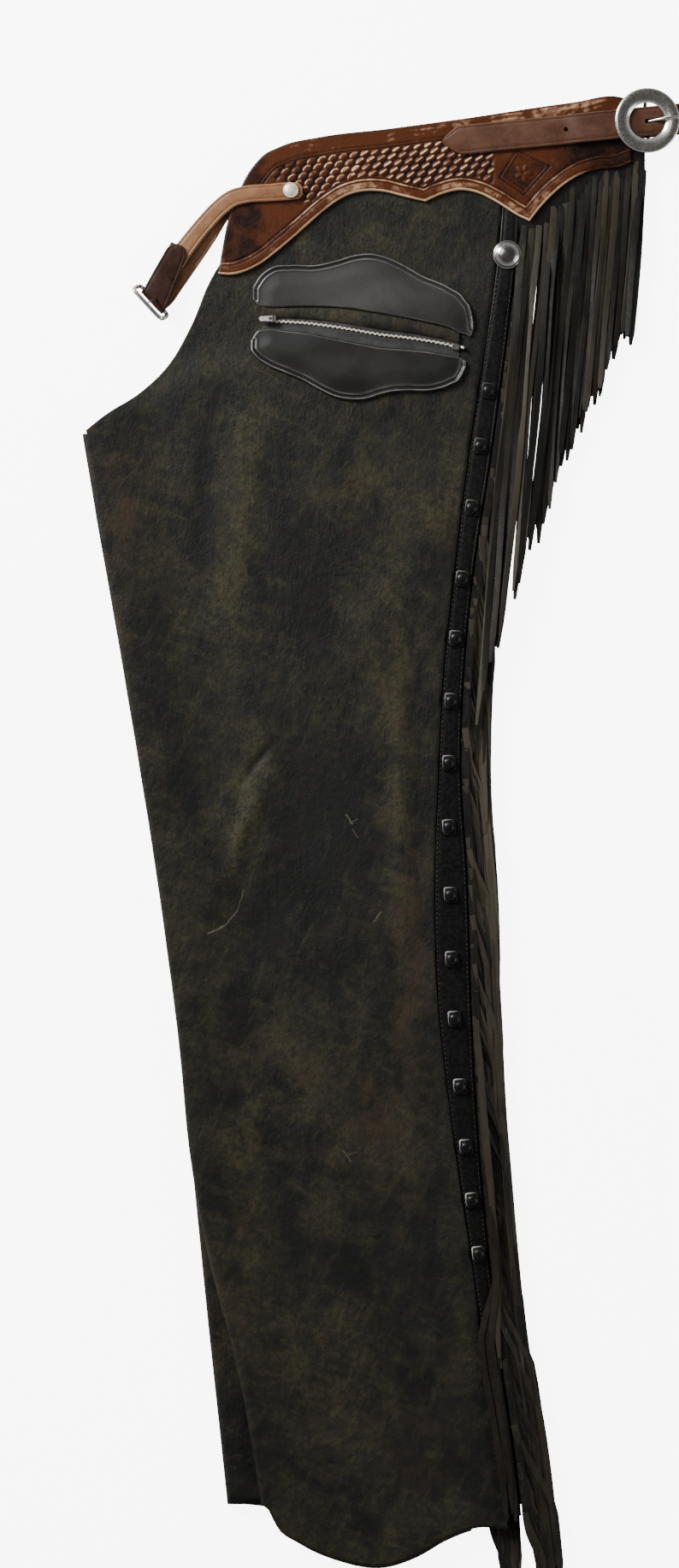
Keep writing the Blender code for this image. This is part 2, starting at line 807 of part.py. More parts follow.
def make_pocket():
    patch("pocket_upper", POCKET_UPPER, 3, POCKET_THICKNESS, "pocket_leather")
    patch("pocket_lower", POCKET_LOWER, 3, POCKET_THICKNESS, "pocket_leather")
    marks = set(ZIP_X) | set(column(POCKET_UPPER, "x")) | set(column(POCKET_LOWER, "x"))
    rows = []
    for x in sorted(x for x in marks if ZIP_X[0] <= x <= ZIP_X[1]):
        upper, lower = zip_middle(x)
        rows.append((x, upper - ZIP_INSET, lower + ZIP_INSET))
    table = (("x", "top", "bottom"), rows)
    patch("pocket_zip", table, 2, ZIP_THICKNESS, "zip_tape")


def slider_base():
    """The height of the slider's underside, clear of the highest spot of the zip under it."""
    x, y = SLIDER_AT
    across, along = SLIDER_SPAN
    heights = [near_front(x + i * across, y + j * along) for i in (-1, 0, 1) for j in (-1, 0, 1)]
    return float(max(heights)) + LEATHER / 2 + POCKET_CLEARANCE + ZIP_THICKNESS + SLIDER_CLEARANCE


def make_slider():
    """The slider's body, with the lug that the pull tab's fork turns about."""
    base = slider_base()
    high = SLIDER[2]
    body = bmesh.new()
    bmesh.ops.create_cube(body, size=1.0)
    bmesh.ops.scale(body, vec=[s * MM for s in SLIDER], verts=body.verts)
    tips = [e for e in body.edges if abs(e.verts[0].co.z - e.verts[1].co.z) > high * MM * 0.5]
    bmesh.ops.bevel(body, geom=tips, offset=SLIDER_CORNER * MM, segments=2, profile=0.5, affect="EDGES")
    mesh = bpy.data.meshes.new("pocket_slider")
    body.to_mesh(mesh)
    body.free()
    made = add_object("pocket_slider", mesh, "nickel")
    made.location = (SLIDER_AT[0] * MM, SLIDER_AT[1] * MM, (base + high / 2) * MM)
    size = (SLIDER_LUG[0], SLIDER_LUG[1], SLIDER_LUG[2] + high / 2)
    centre = (*SLIDER_AT, base + high + (SLIDER_LUG[2] - high / 2) / 2)
    join(made, helper_box("slider_lug", centre, size, Matrix.Identity(4)), "UNION")


def pull_axis():
    return (SLIDER_AT[0], SLIDER_AT[1], slider_base() + SLIDER[2] + PULL_AXIS_LIFT)


def make_pull():
    """The pull tab: a flat fork whose ears stand each side of the slider's lug, on the hinge axis."""
    deep, gap = PULL_NOTCH
    half = PULL_WIDTH / 2
    long, narrow = PULL_CHAMFER
    one_side = [
        (PULL_EAR - deep, gap / 2),
        (PULL_EAR, gap / 2),
        (PULL_EAR, half),
        (long - PULL_LENGTH, half),
        (-PULL_LENGTH, half - narrow),
    ]
    outline = one_side + [(x, -y) for x, y in reversed(one_side)]
    made = flat_outline("pocket_pull", outline, [1] * len(outline), 0.0, PULL_THICKNESS, "nickel")
    made.location = [c * MM for c in pull_axis()]
    made.rotation_euler = (0.0, -PULL_DROOP, 0.0)


def hide(thing):
    thing.hide_render = True
    thing.display_type = "WIRE"


def join(thing, other, operation):
    change = thing.modifiers.new(other.name, "BOOLEAN")
    change.object = other
    change.operation = operation
    change.solver = "EXACT"


def helper_box(name, centre, size, matrix):
    box = bmesh.new()
    bmesh.ops.create_cube(box, size=1.0)
    bmesh.ops.scale(box, vec=[s * MM for s in size], verts=box.verts)
    mesh = bpy.data.meshes.new(name)
    box.to_mesh(mesh)
    box.free()
    made = add_object(name, mesh, None, bpy.data.collections["cutters"])
    made.matrix_world = matrix @ Matrix.Translation([c * MM for c in centre])
    hide(made)
    return made


def wire(name, points, radius, finish, cyclic=False, target=None):
    """A round wire or rod along points."""
    curve = bpy.data.curves.new(name, "CURVE")
    curve.dimensions = "3D"
    curve.bevel_depth = radius * MM
    curve.bevel_resolution = 2
    curve.use_fill_caps = not cyclic
    spline = curve.splines.new("POLY")
    spline.points.add(len(points) - 1)
    spline.use_cyclic_u = cyclic
    for knot, point in zip(spline.points, points):
        knot.co = (*[c * MM for c in point], 1.0)
    return add_object(name, curve, finish, target)


def as_mesh(thing):
    """The same object with its curve made a closed mesh."""
    graph = bpy.context.evaluated_depsgraph_get()
    mesh = bpy.data.meshes.new_from_object(thing.evaluated_get(graph))
    weld = bmesh.new()
    weld.from_mesh(mesh)
    bmesh.ops.remove_doubles(weld, verts=weld.verts, dist=0.00001)
    bmesh.ops.recalc_face_normals(weld, faces=weld.faces)
    weld.to_mesh(mesh)
    weld.free()
    name, target, matrix = thing.name, thing.users_collection[0], thing.matrix_world.copy()
    bpy.data.objects.remove(thing)
    made = bpy.data.objects.new(name, mesh)
    target.objects.link(made)
    made.matrix_world = matrix
    return made


def strap_rows(path, widths):
    """Pairs of edge points along a strap's middle line."""
    path = np.array(path, float)
    steps = np.gradient(path[:, :2], axis=0)
    rows = []
    for i, (x, y, z) in enumerate(path):
        side = np.array((-steps[i][1], steps[i][0]))
        side = side / np.hypot(*side)
        half = widths[i] / 2
        one = (x - side[0] * half, y - side[1] * half, z)
        two = (x + side[0] * half, y + side[1] * half, z)
        rows.append([one, two])
    return rows


def table_strap(name, table, thickness, finish):
    path = list(zip(column(table, "x"), column(table, "y"), column(table, "z")))
    sheet(name, strap_rows(path, column(table, "width")), finish, thickness)


def half_turn(centre, height, radius, steps):
    """Places round a half circle, from its top to its bottom on the outer side."""
    for i in range(steps + 1):
        turn = math.pi * i / steps
        yield centre + radius * math.sin(turn), height + radius * math.cos(turn)


def buckle_frame():
    """The back buckle's own axes: along the strap, across it and up."""
    place = Matrix.Translation((BUCKLE_AT[0] * MM, BUCKLE_AT[1] * MM, 0.0))
    return place @ Matrix.Rotation(STRAP_SLOPE, 4, "Z")


def buckle_sheet(name, stations, finish, thickness):
    """A strap in the back buckle's axes, from places along it, heights and widths."""
    grid = [[(s, -w / 2, z), (s, w / 2, z)] for s, z, w in stations]
    made = sheet(name, grid, finish, thickness)
    made.matrix_world = buckle_frame()
    return made


def make_back_strap():
    middle, radius = (STRAP_HIGH + STRAP_FAR) / 2, (STRAP_HIGH - STRAP_FAR) / 2
    stations = list(BACK_STRAP[1])
    stations += [(s, z, BACK_STRAP_WIDTH) for s, z in half_turn(LOOP_CENTRE, middle, radius, 8)]
    stations += [(s, STRAP_FAR, BACK_STRAP_WIDTH) for s in STRAP_UNDER]
    strap = buckle_sheet("back_strap", stations, "strap_leather", STRAP_THICKNESS)
    stations = [(-CHAPE_LENGTH, BAR_Z + CHAPE_RADIUS, CHAPE_WIDTH)]
    stations += [(s, z, CHAPE_WIDTH) for s, z in half_turn(0.0, BAR_Z, CHAPE_RADIUS, 6)]
    stations += [(CHAPE_UNDER - CHAPE_LENGTH, BAR_Z - CHAPE_RADIUS, CHAPE_WIDTH)]
    chape = buckle_sheet("back_chape", stations, "chape_leather", CHAPE_THICKNESS)
    slot = helper_box("prong_slot", PRONG_SLOT_AT, PRONG_SLOT, buckle_frame())
    join(strap, slot, "DIFFERENCE")
    join(chape, slot, "DIFFERENCE")


def make_back_buckle():
    ring = turned("back_buckle", RIM_PROFILE[1], RIM_STEPS, (0.0, 0.0, 0.0), "nickel", closed=True)
    ring.matrix_world = buckle_frame() @ Matrix.Translation((0.0, 0.0, RIM_BASE * MM))
    path = [(0.0, -t, z) for t, z in BACK_BAR[1]] + [(0.0, t, z) for t, z in reversed(BACK_BAR[1])]
    bar = wire("buckle_bar", path, BAR_RADIUS, None, target=bpy.data.collections["cutters"])
    bar.matrix_world = buckle_frame()
    bpy.context.view_layer.update()
    bar = as_mesh(bar)
    hide(bar)
    join(ring, bar, "UNION")
    path = [(s, 0.0, z) for s, z in BACK_PRONG[1]]
    prong = wire("back_prong", path, BACK_PRONG_RADIUS, "nickel")
    prong.matrix_world = buckle_frame()


def make_front_straps():
    table_strap("left_front_strap", FRONT_STRAP, THIN_STRAP, "front_strap_leather")
    table_strap("right_front_strap", RIGHT_FRONT_STRAP, THIN_STRAP, "front_strap_leather")
    dome = [(FRONT_SNAP_RADIUS * share, height) for share, height in FRONT_SNAP_DOME[1]]
    place = (*FRONT_SNAP_AT, FRONT_STRAP_LEVEL + THIN_STRAP / 2 + SEAM)
    turned("front_snap", dome, FRONT_SNAP_STEPS, place, "nickel")


def front_axes():
    """The front buckle's bar, and the level way out past it."""
    bar = Vector((math.cos(FRONT_BAR_ANGLE), math.sin(FRONT_BAR_ANGLE), 0.0))
    return bar, Vector((bar.y, -bar.x, 0.0))


def make_front_buckle():
    """The small buckle stands on its bar, so its frame is seen nearly edge on from above."""
    bar, out = front_axes()
    stand = out * math.cos(FRONT_FRAME_TILT) + UP * math.sin(FRONT_FRAME_TILT)
    centre = Vector(FRONT_BAR_AT)
    half, deep = FRONT_FRAME
    loop = []
    for quarter, (a_sign, d_centre) in enumerate(
        ((1, deep - FRONT_CORNER), (-1, deep - FRONT_CORNER), (-1, FRONT_CORNER), (1, FRONT_CORNER))
    ):
        for step in range(4):
            angle = math.radians(quarter * 90.0 + step * 30.0)
            a = a_sign * (half - FRONT_CORNER) + FRONT_CORNER * math.cos(angle)
            d = d_centre + FRONT_CORNER * math.sin(angle)
            loop.append(centre + bar * a + stand * d)
    wire("front_buckle", loop, FRONT_WIRE, "nickel", cyclic=True)
    face = stand.cross(bar)
    if face.dot(out) > 0:
        face = -face
    root = centre + face * FRONT_PRONG_AWAY
    tip = root + stand * (deep + FRONT_PRONG_PAST)
    wire("front_prong", [root, root.lerp(tip, 0.5), tip], FRONT_PRONG_RADIUS, "nickel")


def make_front_chape():
    """A sleeve folded round the small buckle's bar, with the strap's end between its two walls."""
    bar, out = front_axes()
    centre = Vector(FRONT_BAR_AT)
    top = Vector((*SLEEVE_TOP, centre.z))
    way = (centre - top).normalized()
    square = Vector((-way.y, way.x, 0.0))
    if square.dot(bar) < 0:
        square = -square
    narrow, wide = SLEEVE_WIDTHS

    def wall_row(share, rise):
        middle = top.lerp(centre, share) + UP * rise
        side = square.lerp(bar, share).normalized() * (narrow + (wide - narrow) * share) / 2
        return [tuple(middle - side), tuple(middle + side)]

    rows = [wall_row(share, SLEEVE_GAP) for share in SLEEVE_SHARES]
    for s, z in half_turn(0.0, 0.0, SLEEVE_GAP, 6):
        middle = centre + out * s + UP * z
        rows.append([tuple(middle - bar * wide / 2), tuple(middle + bar * wide / 2)])
    rows += [wall_row(share, -SLEEVE_GAP) for share in reversed(SLEEVE_SHARES)]
    sleeve = sheet("front_chape", rows, "chape_leather", CHAPE_THICKNESS)
    turn = Matrix.Translation([c * MM for c in centre]) @ Matrix.Rotation(FRONT_BAR_ANGLE, 4, "Z")
    slot = helper_box("front_slot", FRONT_SLOT_AT, FRONT_SLOT, turn)
    join(sleeve, slot, "DIFFERENCE")


def comb(name, stations, strands, finish):
    """A backing strip whose outer edge carries strands, all one leather thickness.

    Strand j leaves the strip between its stations 2j + 1 and 2j + 2.
    """
    points, faces = [], []
    for inner, outer in stations:
        points += [inner, outer]
    for i in range(len(stations) - 1):
        faces.append((2 * i, 2 * i + 1, 2 * i + 3, 2 * i + 2))
    for j, strand in enumerate(strands):
        first, second = 2 * (2 * j + 1) + 1, 2 * (2 * j + 2) + 1
        for one, two in strand:
            points += [one, two]
            new = len(points) - 2
            faces.append((second, first, new, new + 1))
            first, second = new, new + 1
    made = add_mesh(name, points, faces, finish)
    solidify(made, FRINGE_THICKNESS)


def fringe_height(x, y, level, leg):
    """The leg fringe sinks as it leaves the seam, the same for every strand at one place."""
    away = x - strip_x(y, leg) - FRINGE_BACKING
    return level - FRINGE_SAG * smooth_step(away / FRINGE_REACH)


def leg_fringe(name, leg, level, first_root, sag, rng):
    """Strands cut from a strip along the outseam: they leave it sideways and turn down beside it."""
    def height(x, y):
        return fringe_height(x, y, level, leg) if sag else level

    roots = []
    y = first_root
    while y > LEG_FRINGE_BOTTOM:
        roots.append(y)
        y -= LEG_STRAND_PITCH
    backing = [LEG_FRINGE_TOP]
    for y in roots:
        backing += [y + STRAND_WIDTH / 2, y - STRAND_WIDTH / 2]
    backing.append(min(backing[-1] - FRINGE_END, LEG_FRINGE_BOTTOM))
    stations = []
    for y in backing:
        inner = strip_x(y, leg) + FRINGE_SEAM
        outer = inner + FRINGE_BACKING
        stations.append(((inner, y, level), (outer, y, height(outer, y))))
    strands = []
    for j, y in enumerate(roots):
        length = LEG_STRAND + rng.uniform(*STRAND_SHORTER)
        lowest = FRINGE_LOWEST + (0.0 if j % LEG_TIPS_LOWEST == 0 else rng.uniform(*TIPS_AT_HEM))
        length = min(length, y - lowest)
        strand = []
        marks = [s for s in FRINGE_STEPS if s < length - FRINGE_STEP_SPARE] + [length]
        for k, s in enumerate(marks):
            at = y - (s if k else STRAND_TURN_DROP)
            x = strip_x(at, leg) + FRINGE_SEAM + FRINGE_BACKING
            x += LEG_STRAND_START + LEG_STRAND_DRIFT * s
            half = STRAND_WIDTH / 2 * (STRAND_TIP_SHARE if k == len(marks) - 1 else 1.0)
            turn = STRAND_TURN if k == 0 else (1.0, 0.0)
            one = (x + half * turn[0], at + half * turn[1])
            two = (x - half * turn[0], at - half * turn[1])
            strand.append(((*one, height(*one)), (*two, height(*two))))
        strands.append(strand)
    comb(name, stations, strands, "leg_leather")


def hip_fringe(name, span, level, drop, rng, climbs):
    """The uncut header under a yoke's back end, and its strands, graduated in length."""
    count = int((span[1] - span[0]) / HIP_PITCH)
    stations = [span[0] - HIP_HEADER_EDGE]
    for j in range(count):
        left = span[0] + j * HIP_PITCH
        stations += [left, left + HIP_STRAND]
    stations.append(stations[-1] + HIP_HEADER_EDGE)
    header = [
        ((x, read(HIP_HEADER, "x", "top", x), level), (x, read(HIP_HEADER, "x", "cut", x), level))
        for x in stations
    ]
    strands = []
    for j in range(count):
        middle = span[0] + j * HIP_PITCH + HIP_STRAND / 2
        start = read(HIP_HEADER, "x", "cut", middle)
        tip = read(HIP_TIPS, "x", "y", middle) + rng.uniform(-HIP_TIP_UNEVEN, HIP_TIP_UNEVEN)
        high = climbs and middle < HIP_CLIMB_X
        steps = HIP_CLIMB_STEPS if high else HIP_STEPS
        marks = [start - s for s in steps if start - s > tip + HIP_STEP_SPARE] + [tip]
        strand = []
        for k, y in enumerate(marks):
            x = middle + HIP_LEAN * (start - y)
            half = HIP_STRAND / 2 * (HIP_TIP_SHARE if k == len(marks) - 1 else HIP_STRAND_SHARE)
            pair = []
            for edge in (x - half, x + half):
                if high:
                    over = fringe_height(edge, y, HIP_OVER_LEVEL, "left")
                    climb = smooth_step((start - y - HIP_CLIMB_START) / HIP_CLIMB_REACH)
                    climb = climb if k else HIP_FIRST_CLIMB
                    pair.append((edge, y, level + (over - level) * climb))
                else:
                    sunk = drop * smooth_step((start - y) / HIP_DROP_REACH)
                    pair.append((edge, y, level - sunk))
            strand.append(tuple(pair))
        strands.append(strand)
    comb(name, header, strands, "leg_leather")


def make_fringe(strip_top):
    rng = random.Random(7)
    low = strip_top - STRIP_THICKNESS + FRINGE_THICKNESS / 2
    high = low + FRINGE_THICKNESS + FRINGE_PLY_GAP
    over, under, far = FRINGE_ROOTS
    leg_fringe("left_leg_fringe_under", "left", low, under, True, rng)
    leg_fringe("left_leg_fringe_over", "left", high, over, True, rng)
    leg_fringe("right_leg_fringe", "right", FAR_FRINGE_BASE + FRINGE_THICKNESS / 2, far, False, rng)
    hip_fringe("left_hip_fringe", HIP_X, HIP_LEVEL, HIP_DROP, rng, True)
    hip_fringe("right_hip_fringe", FAR_HIP_X, FAR_HIP_LEVEL, FAR_HIP_DROP, rng, False)


def main():
    for thing in list(bpy.data.objects):
        bpy.data.objects.remove(thing)
    collection("leather_chaps")
    cutters = collection("cutters")
    cutters.hide_render = True
    make_leg("left")
    make_leg("right")
    make_yoke("left", NEAR_YOKE_BASE)
    make_yoke("right", 0.0)
    make_strip("right")
    strip_top = make_strip("left")
    make_closure(strip_top)
    make_concho(strip_top)
    make_pocket()
    make_slider()
    make_pull()
    make_front_straps()
    make_front_buckle()
    make_front_chape()
    make_back_strap()
    make_back_buckle()
    make_fringe(strip_top)


if __name__ == "__main__":
    main()
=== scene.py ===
"""Looks for the fringed leather chaps: leather and metal finishes, the fringe and the stage.

Sizes are in millimetres, and become metres where a mesh is made. +Z is up off the floor, +Y is towards
the waist and +X towards the outseam, as in the frame.
"""

import math
import random

import bmesh
import bpy
import numpy as np
from bpy.props import FloatProperty, FloatVectorProperty, IntProperty, PointerProperty
from bpy.types import Operator, Panel, PropertyGroup
from mathutils import Matrix, Vector


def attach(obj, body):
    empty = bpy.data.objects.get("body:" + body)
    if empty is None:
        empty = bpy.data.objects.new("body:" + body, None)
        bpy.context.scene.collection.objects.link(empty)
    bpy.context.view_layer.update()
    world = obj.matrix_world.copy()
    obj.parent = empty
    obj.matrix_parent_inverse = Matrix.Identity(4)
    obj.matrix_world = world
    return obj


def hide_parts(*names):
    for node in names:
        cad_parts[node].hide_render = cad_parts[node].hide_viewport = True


bl_info = {
    "name": "Fringed leather chaps",
    "version": (1, 0, 0),
    "blender": (4, 5, 0),
    "location": "3D View > Sidebar > Chaps",
    "description": "Dresses the folded leather chaps: hides, yokes, straps, pocket, fringe and fittings",
    "category": "Add Mesh",
}

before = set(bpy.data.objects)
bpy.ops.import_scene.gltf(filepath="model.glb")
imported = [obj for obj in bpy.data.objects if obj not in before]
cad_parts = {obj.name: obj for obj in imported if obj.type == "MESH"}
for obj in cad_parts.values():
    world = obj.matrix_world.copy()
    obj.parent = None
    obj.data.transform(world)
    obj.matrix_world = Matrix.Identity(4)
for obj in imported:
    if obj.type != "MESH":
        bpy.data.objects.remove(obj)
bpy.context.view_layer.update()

MM = 0.001
GARMENT = "garment"

# Leather and its layers, as in the frame
LEATHER = 1.8
YOKE_THICKNESS = 2.6
SEAM = 0.3
PLY = LEATHER + 0.8
LEG_GAP = 0.6
FOLD_RADIUS = 2.6
FOLD_REACH = 50.0
FAR_FRONT = LEATHER / 2
NEAR_YOKE_BASE = 7.4
NEAR_TOP_LEVEL = 6.1
YOKE_LIFT = YOKE_THICKNESS + SEAM
YOKE_RAMP = (-60.0, -25.0)
BACK_TOP_RAMP = 35.0
HEM_Y = -485.0
TIP = (-223.2, 291.4)
BACK_TOP_OUTER = (97.0, 408.0)
FRONT_HEM_OUTER_Y = -503.0
FRONT_TIP_ROW_OUTER_Y = 400.0
FRONT_TOP_OUTER_Y = 520.0
LEG_ROWS = 20
TOP_ROWS = 8
HEM_DIP = 36.0
HEM_DIP_REACH = 140.0
HEM_LAG = {"left": 0.0, "right": 0.15}
FRINGE_LAP = 7.0
POCKET_CLEARANCE = 0.45

FOLD = (
    ("y", "x"),
    (
        (-486, -118.0), (-435, -123.4), (-361, -131.4), (-262, -141.4), (-138, -154.4),
        (11, -175.5), (160, -200.3), (234, -213.3), (292, -223.2),
    ),
)
SLIP = (
    ("y", "shift"),
    ((-545, 28.0), (-485, 25.0), (-386, 18.0), (-300, 5.0), (-240, 0.0), (-140, 0.0), (530, 0.0)),
)
OUTSEAM = (
    ("y", "panel", "strip"),
    (
        (-545, 89.0, 101.0), (-448, 80.0, 90.0), (-373, 68.0, 79.0), (-309, 58.9, 71.9),
        (-200, 43.4, 62.4), (-116, 34.1, 58.3), (-32, 32.2, 55.8), (45, 34.7, 51.2),
        (118, 38.4, 53.3), (184, 45.3, 59.5), (284, 57.7, 74.4), (402, 75.6, 89.3),
        (430, 79.0, 92.0), (523, 83.0, 96.0),
    ),
)
CROTCH = (
    ("x", "y"),
    (
        (-223.2, 291.4), (-204.6, 306.3), (-181.7, 321.2), (-160.5, 342.0), (-144.0, 371.0),
        (-132.5, 399.0), (-122.0, 417.0), (-104.0, 440.0), (-92.0, 464.0), (-84.0, 488.0),
    ),
)
HEM_CURVE = (
    ("across", "dip"),
    (
        (0.0, 0.0), (0.05, 0.45), (0.12, 0.66), (0.3, 0.96), (0.48, 1.0), (0.62, 0.72), (0.75, 0.3),
        (0.88, 0.02), (1.0, 0.0),
    ),
)
YOKE_TOP = (
    ("x", "y"),
    (
        (-124.6, 408.0), (-119.0, 440.2), (-108.5, 470.0), (-93.6, 492.3), (-80.6, 499.7),
        (-49.6, 507.2), (-3.7, 512.7), (34.1, 517.7), (64.5, 522.0), (104.8, 528.2), (132.0, 532.0),
        (168.0, 535.7), (174.5, 533.5),
    ),
)
YOKE_LOW = (
    ("x", "y"),
    (
        (-124.6, 408.0), (-115.9, 407.3), (-96.1, 414.2), (-75.0, 430.3), (-60.8, 442.7),
        (-46.5, 455.1), (-32.2, 464.4), (-24.8, 466.9), (-6.8, 467.8), (10.5, 463.8), (25.4, 460.4),
        (37.2, 465.6), (50.8, 468.7), (64.5, 466.2), (78.1, 459.4), (91.8, 450.7), (101.1, 446.1),
        (109.1, 456.3), (122.8, 470.0), (136.4, 479.3), (150.0, 484.2), (166.2, 486.1),
        (174.5, 489.5),
    ),
)
YOKE_CORNERS = (25.4, 101.1)
POCKET_UPPER = (
    ("x", "top", "bottom"),
    (
        (-99.6, 398.0, 390.0), (-96.0, 404.2, 385.8), (-86.8, 412.3, 383.8), (-72.5, 414.5, 384.1),
        (-54.0, 414.5, 384.3), (-38.4, 417.9, 383.6), (-26.0, 421.6, 382.3), (-14.9, 422.8, 380.4),
        (-3.1, 420.4, 378.4), (10.5, 414.2, 376.0), (23.6, 406.7, 373.3), (42.8, 398.0, 368.5),
        (54.6, 388.7, 363.8), (59.5, 379.0, 364.5), (60.6, 373.0, 368.5),
    ),
)
POCKET_LOWER = (
    ("x", "top", "bottom"),
    (
        (-101.0, 359.0, 352.0), (-97.0, 365.5, 347.0), (-90.5, 367.6, 342.2), (-75.6, 366.2, 335.4),
        (-62.6, 364.8, 329.8), (-51.5, 362.6, 323.6), (-40.3, 360.3, 318.3), (-29.1, 358.0, 316.2),
        (-17.4, 355.6, 316.6), (-7.4, 353.9, 319.6), (1.9, 353.2, 321.8), (12.4, 352.4, 322.4),
        (31.6, 350.3, 323.0), (43.4, 348.2, 326.7), (51.5, 346.4, 332.3), (55.2, 344.0, 340.0),
    ),
)

# Soft ridges and troughs in the left leg's front panel: a trough has a height below nought
CREASES = (
    ("x0", "y0", "x1", "y1", "bow", "height", "width"),
    (
        (-84.0, 67.0, -131.0, -69.0, -6.0, 1.3, 12.0), (-82.0, 70.0, -109.0, 33.0, -2.0, -1.5, 3.0),
        (-109.0, 33.0, -128.0, -30.0, 3.0, -0.7, 4.5), (-76.0, 60.0, -122.0, -42.0, -4.0, 0.8, 5.0),
        (-60.0, 20.0, -108.0, -86.0, 10.0, -0.6, 16.0), (-106.0, 92.0, -88.0, 58.0, 4.0, 0.7, 5.0),
        (30.0, 250.0, -40.0, 120.0, 14.0, 0.9, 24.0), (7.0, 150.0, 10.0, -110.0, 0.0, 0.8, 7.0),
        (20.0, 150.0, 21.0, -110.0, 0.0, -0.5, 6.0), (-104.0, 320.0, -118.0, 150.0, 6.0, 0.9, 12.0),
        (-128.0, 300.0, -132.0, 170.0, -4.0, -0.7, 10.0),
        (-124.0, 212.0, -92.0, 158.0, 5.0, 0.6, 5.0),
        (-118.0, 188.0, -96.0, 148.0, -4.0, -0.5, 4.0),
        (-60.0, -180.0, -20.0, -420.0, 12.0, 1.2, 30.0),
        (-96.0, -210.0, -84.0, -400.0, -8.0, 0.9, 20.0), (-30.0, 300.0, 34.0, 330.0, 4.0, 0.7, 9.0),
        (-60.0, -120.0, 16.0, -150.0, -8.0, 0.7, 18.0), (-46.0, 262.0, 16.0, 236.0, 6.0, 0.5, 6.0),
        (24.0, 252.0, 48.0, 214.0, -4.0, 0.6, 5.0), (-150.0, 190.0, -160.0, 40.0, 6.0, 0.6, 14.0),
        (40.0, -250.0, 56.0, -400.0, 0.0, 0.8, 9.0),
    ),
)

# Paler and browner places in the hide, each a soft oval
STAINS = (
    ("x", "y", "wide", "long", "pale", "brown"),
    (
        (-112.0, 178.0, 13.0, 34.0, 0.9, 0.0), (-27.0, 248.0, 26.0, 14.0, 0.8, 0.4),
        (35.0, 234.0, 12.0, 14.0, 0.9, 0.1), (-103.0, 20.0, 13.0, 46.0, 0.9, 0.0),
        (7.0, 79.0, 10.0, 92.0, 0.8, 0.3), (17.0, -90.0, 12.0, 80.0, 0.5, 0.9),
        (-106.0, 284.0, 18.0, 40.0, 0.5, 0.0), (-196.0, 240.0, 13.0, 36.0, 0.4, 0.9),
        (-200.0, 150.0, 8.0, 60.0, 0.4, 0.3), (-69.0, 178.0, 26.0, 46.0, -0.8, 0.0),
        (-35.0, 10.0, 32.0, 62.0, -0.7, 0.0), (-78.0, -162.0, 40.0, 20.0, 0.5, 0.5),
        (-4.0, -218.0, 24.0, 32.0, 0.5, 0.8), (-106.0, -218.0, 14.0, 32.0, 0.6, 0.1),
        (-47.0, -386.0, 44.0, 40.0, 0.35, 0.2), (-121.0, -323.0, 14.0, 40.0, 0.2, 0.5),
        (-16.0, -311.0, 40.0, 50.0, -0.6, 0.0), (-160.0, 110.0, 18.0, 60.0, -0.4, 0.0),
        (-40.0, 430.0, 60.0, 16.0, 0.3, 0.0), (20.0, -440.0, 40.0, 30.0, -0.4, 0.3),
    ),
)

# Marks scratched in the left leg, in millimetres
SCRATCHES = (
    ("x0", "y0", "x1", "y1", "width", "strength"),
    (
        (-106.0, -38.4, -110.4, -53.9, 0.55, 0.45), (-110.4, -53.9, -120.3, -65.1, 0.6, 0.7),
        (-120.3, -65.1, -132.0, -70.7, 0.8, 0.95), (-32.0, 16.0, -27.5, 9.0, 0.7, 0.7),
        (-29.5, 9.5, -24.0, 12.0, 0.6, 0.5), (-27.0, 5.0, -23.5, -1.0, 0.5, 0.5),
        (-12.0, -62.0, -6.0, -55.0, 0.6, 0.7), (-34.0, -228.0, -28.0, -236.0, 0.6, 0.5),
        (-31.0, -231.0, -24.0, -229.0, 0.5, 0.4),
    ),
)


class LegLook(PropertyGroup):
    dark: FloatVectorProperty(
        name="Dark hide", description="Oiled black of the hide", default=(0.0028, 0.0028, 0.0025),
        subtype="COLOR", size=3, min=0.0, max=1.0,
    )
    olive: FloatVectorProperty(
        name="Olive hide", description="Paler olive where the oil has worn", default=(
            0.0262, 0.0232, 0.0098
        ),
        subtype="COLOR", size=3, min=0.0, max=1.0,
    )
    brown: FloatVectorProperty(
        name="Brown hide", description="Brown where the hide shows", default=(0.0260, 0.0150, 0.0085),
        subtype="COLOR", size=3, min=0.0, max=1.0,
    )
    scuff: FloatVectorProperty(
        name="Scuff", description="Pale scratch", default=(0.100, 0.090, 0.066),
        subtype="COLOR", size=3, min=0.0, max=1.0,
    )
    crease: FloatProperty(
        name="Crease", description="Share of each crease's height", default=1.25, min=0.0, max=2.0,
    )
    grain: FloatProperty(
        name="Grain size", description="Size of the hide's grain", default=0.0016, unit="LENGTH", precision=4,
    )


class YokeLook(PropertyGroup):
    base: FloatVectorProperty(
        name="Russet", description="Saddle leather's own colour", default=(0.057, 0.0152, 0.0046),
        subtype="COLOR", size=3, min=0.0, max=1.0,
    )
    deep: FloatVectorProperty(
        name="Antiquing", description="Dark finish left in the stamping", default=(0.0070, 0.0026, 0.0016),
        subtype="COLOR", size=3, min=0.0, max=1.0,
    )
    # The rubbed colour also gives the stamps' painted highlights
    pale: FloatVectorProperty(
        name="Rubbed", description="Tops rubbed pale", default=(0.60, 0.36, 0.21),
        subtype="COLOR", size=3, min=0.0, max=1.0,
    )
    stamp_long: FloatProperty(name="Stamp length", description="Basket stamp's pitch along its row",
                              default=0.0078, unit="LENGTH", precision=4)
    stamp_wide: FloatProperty(name="Stamp width", description="Basket stamp's pitch across its row",
                              default=0.0050, unit="LENGTH", precision=4)
    depth: FloatProperty(name="Stamping depth", description="Depth of the stamping",
                         default=0.0007, unit="LENGTH", precision=4)


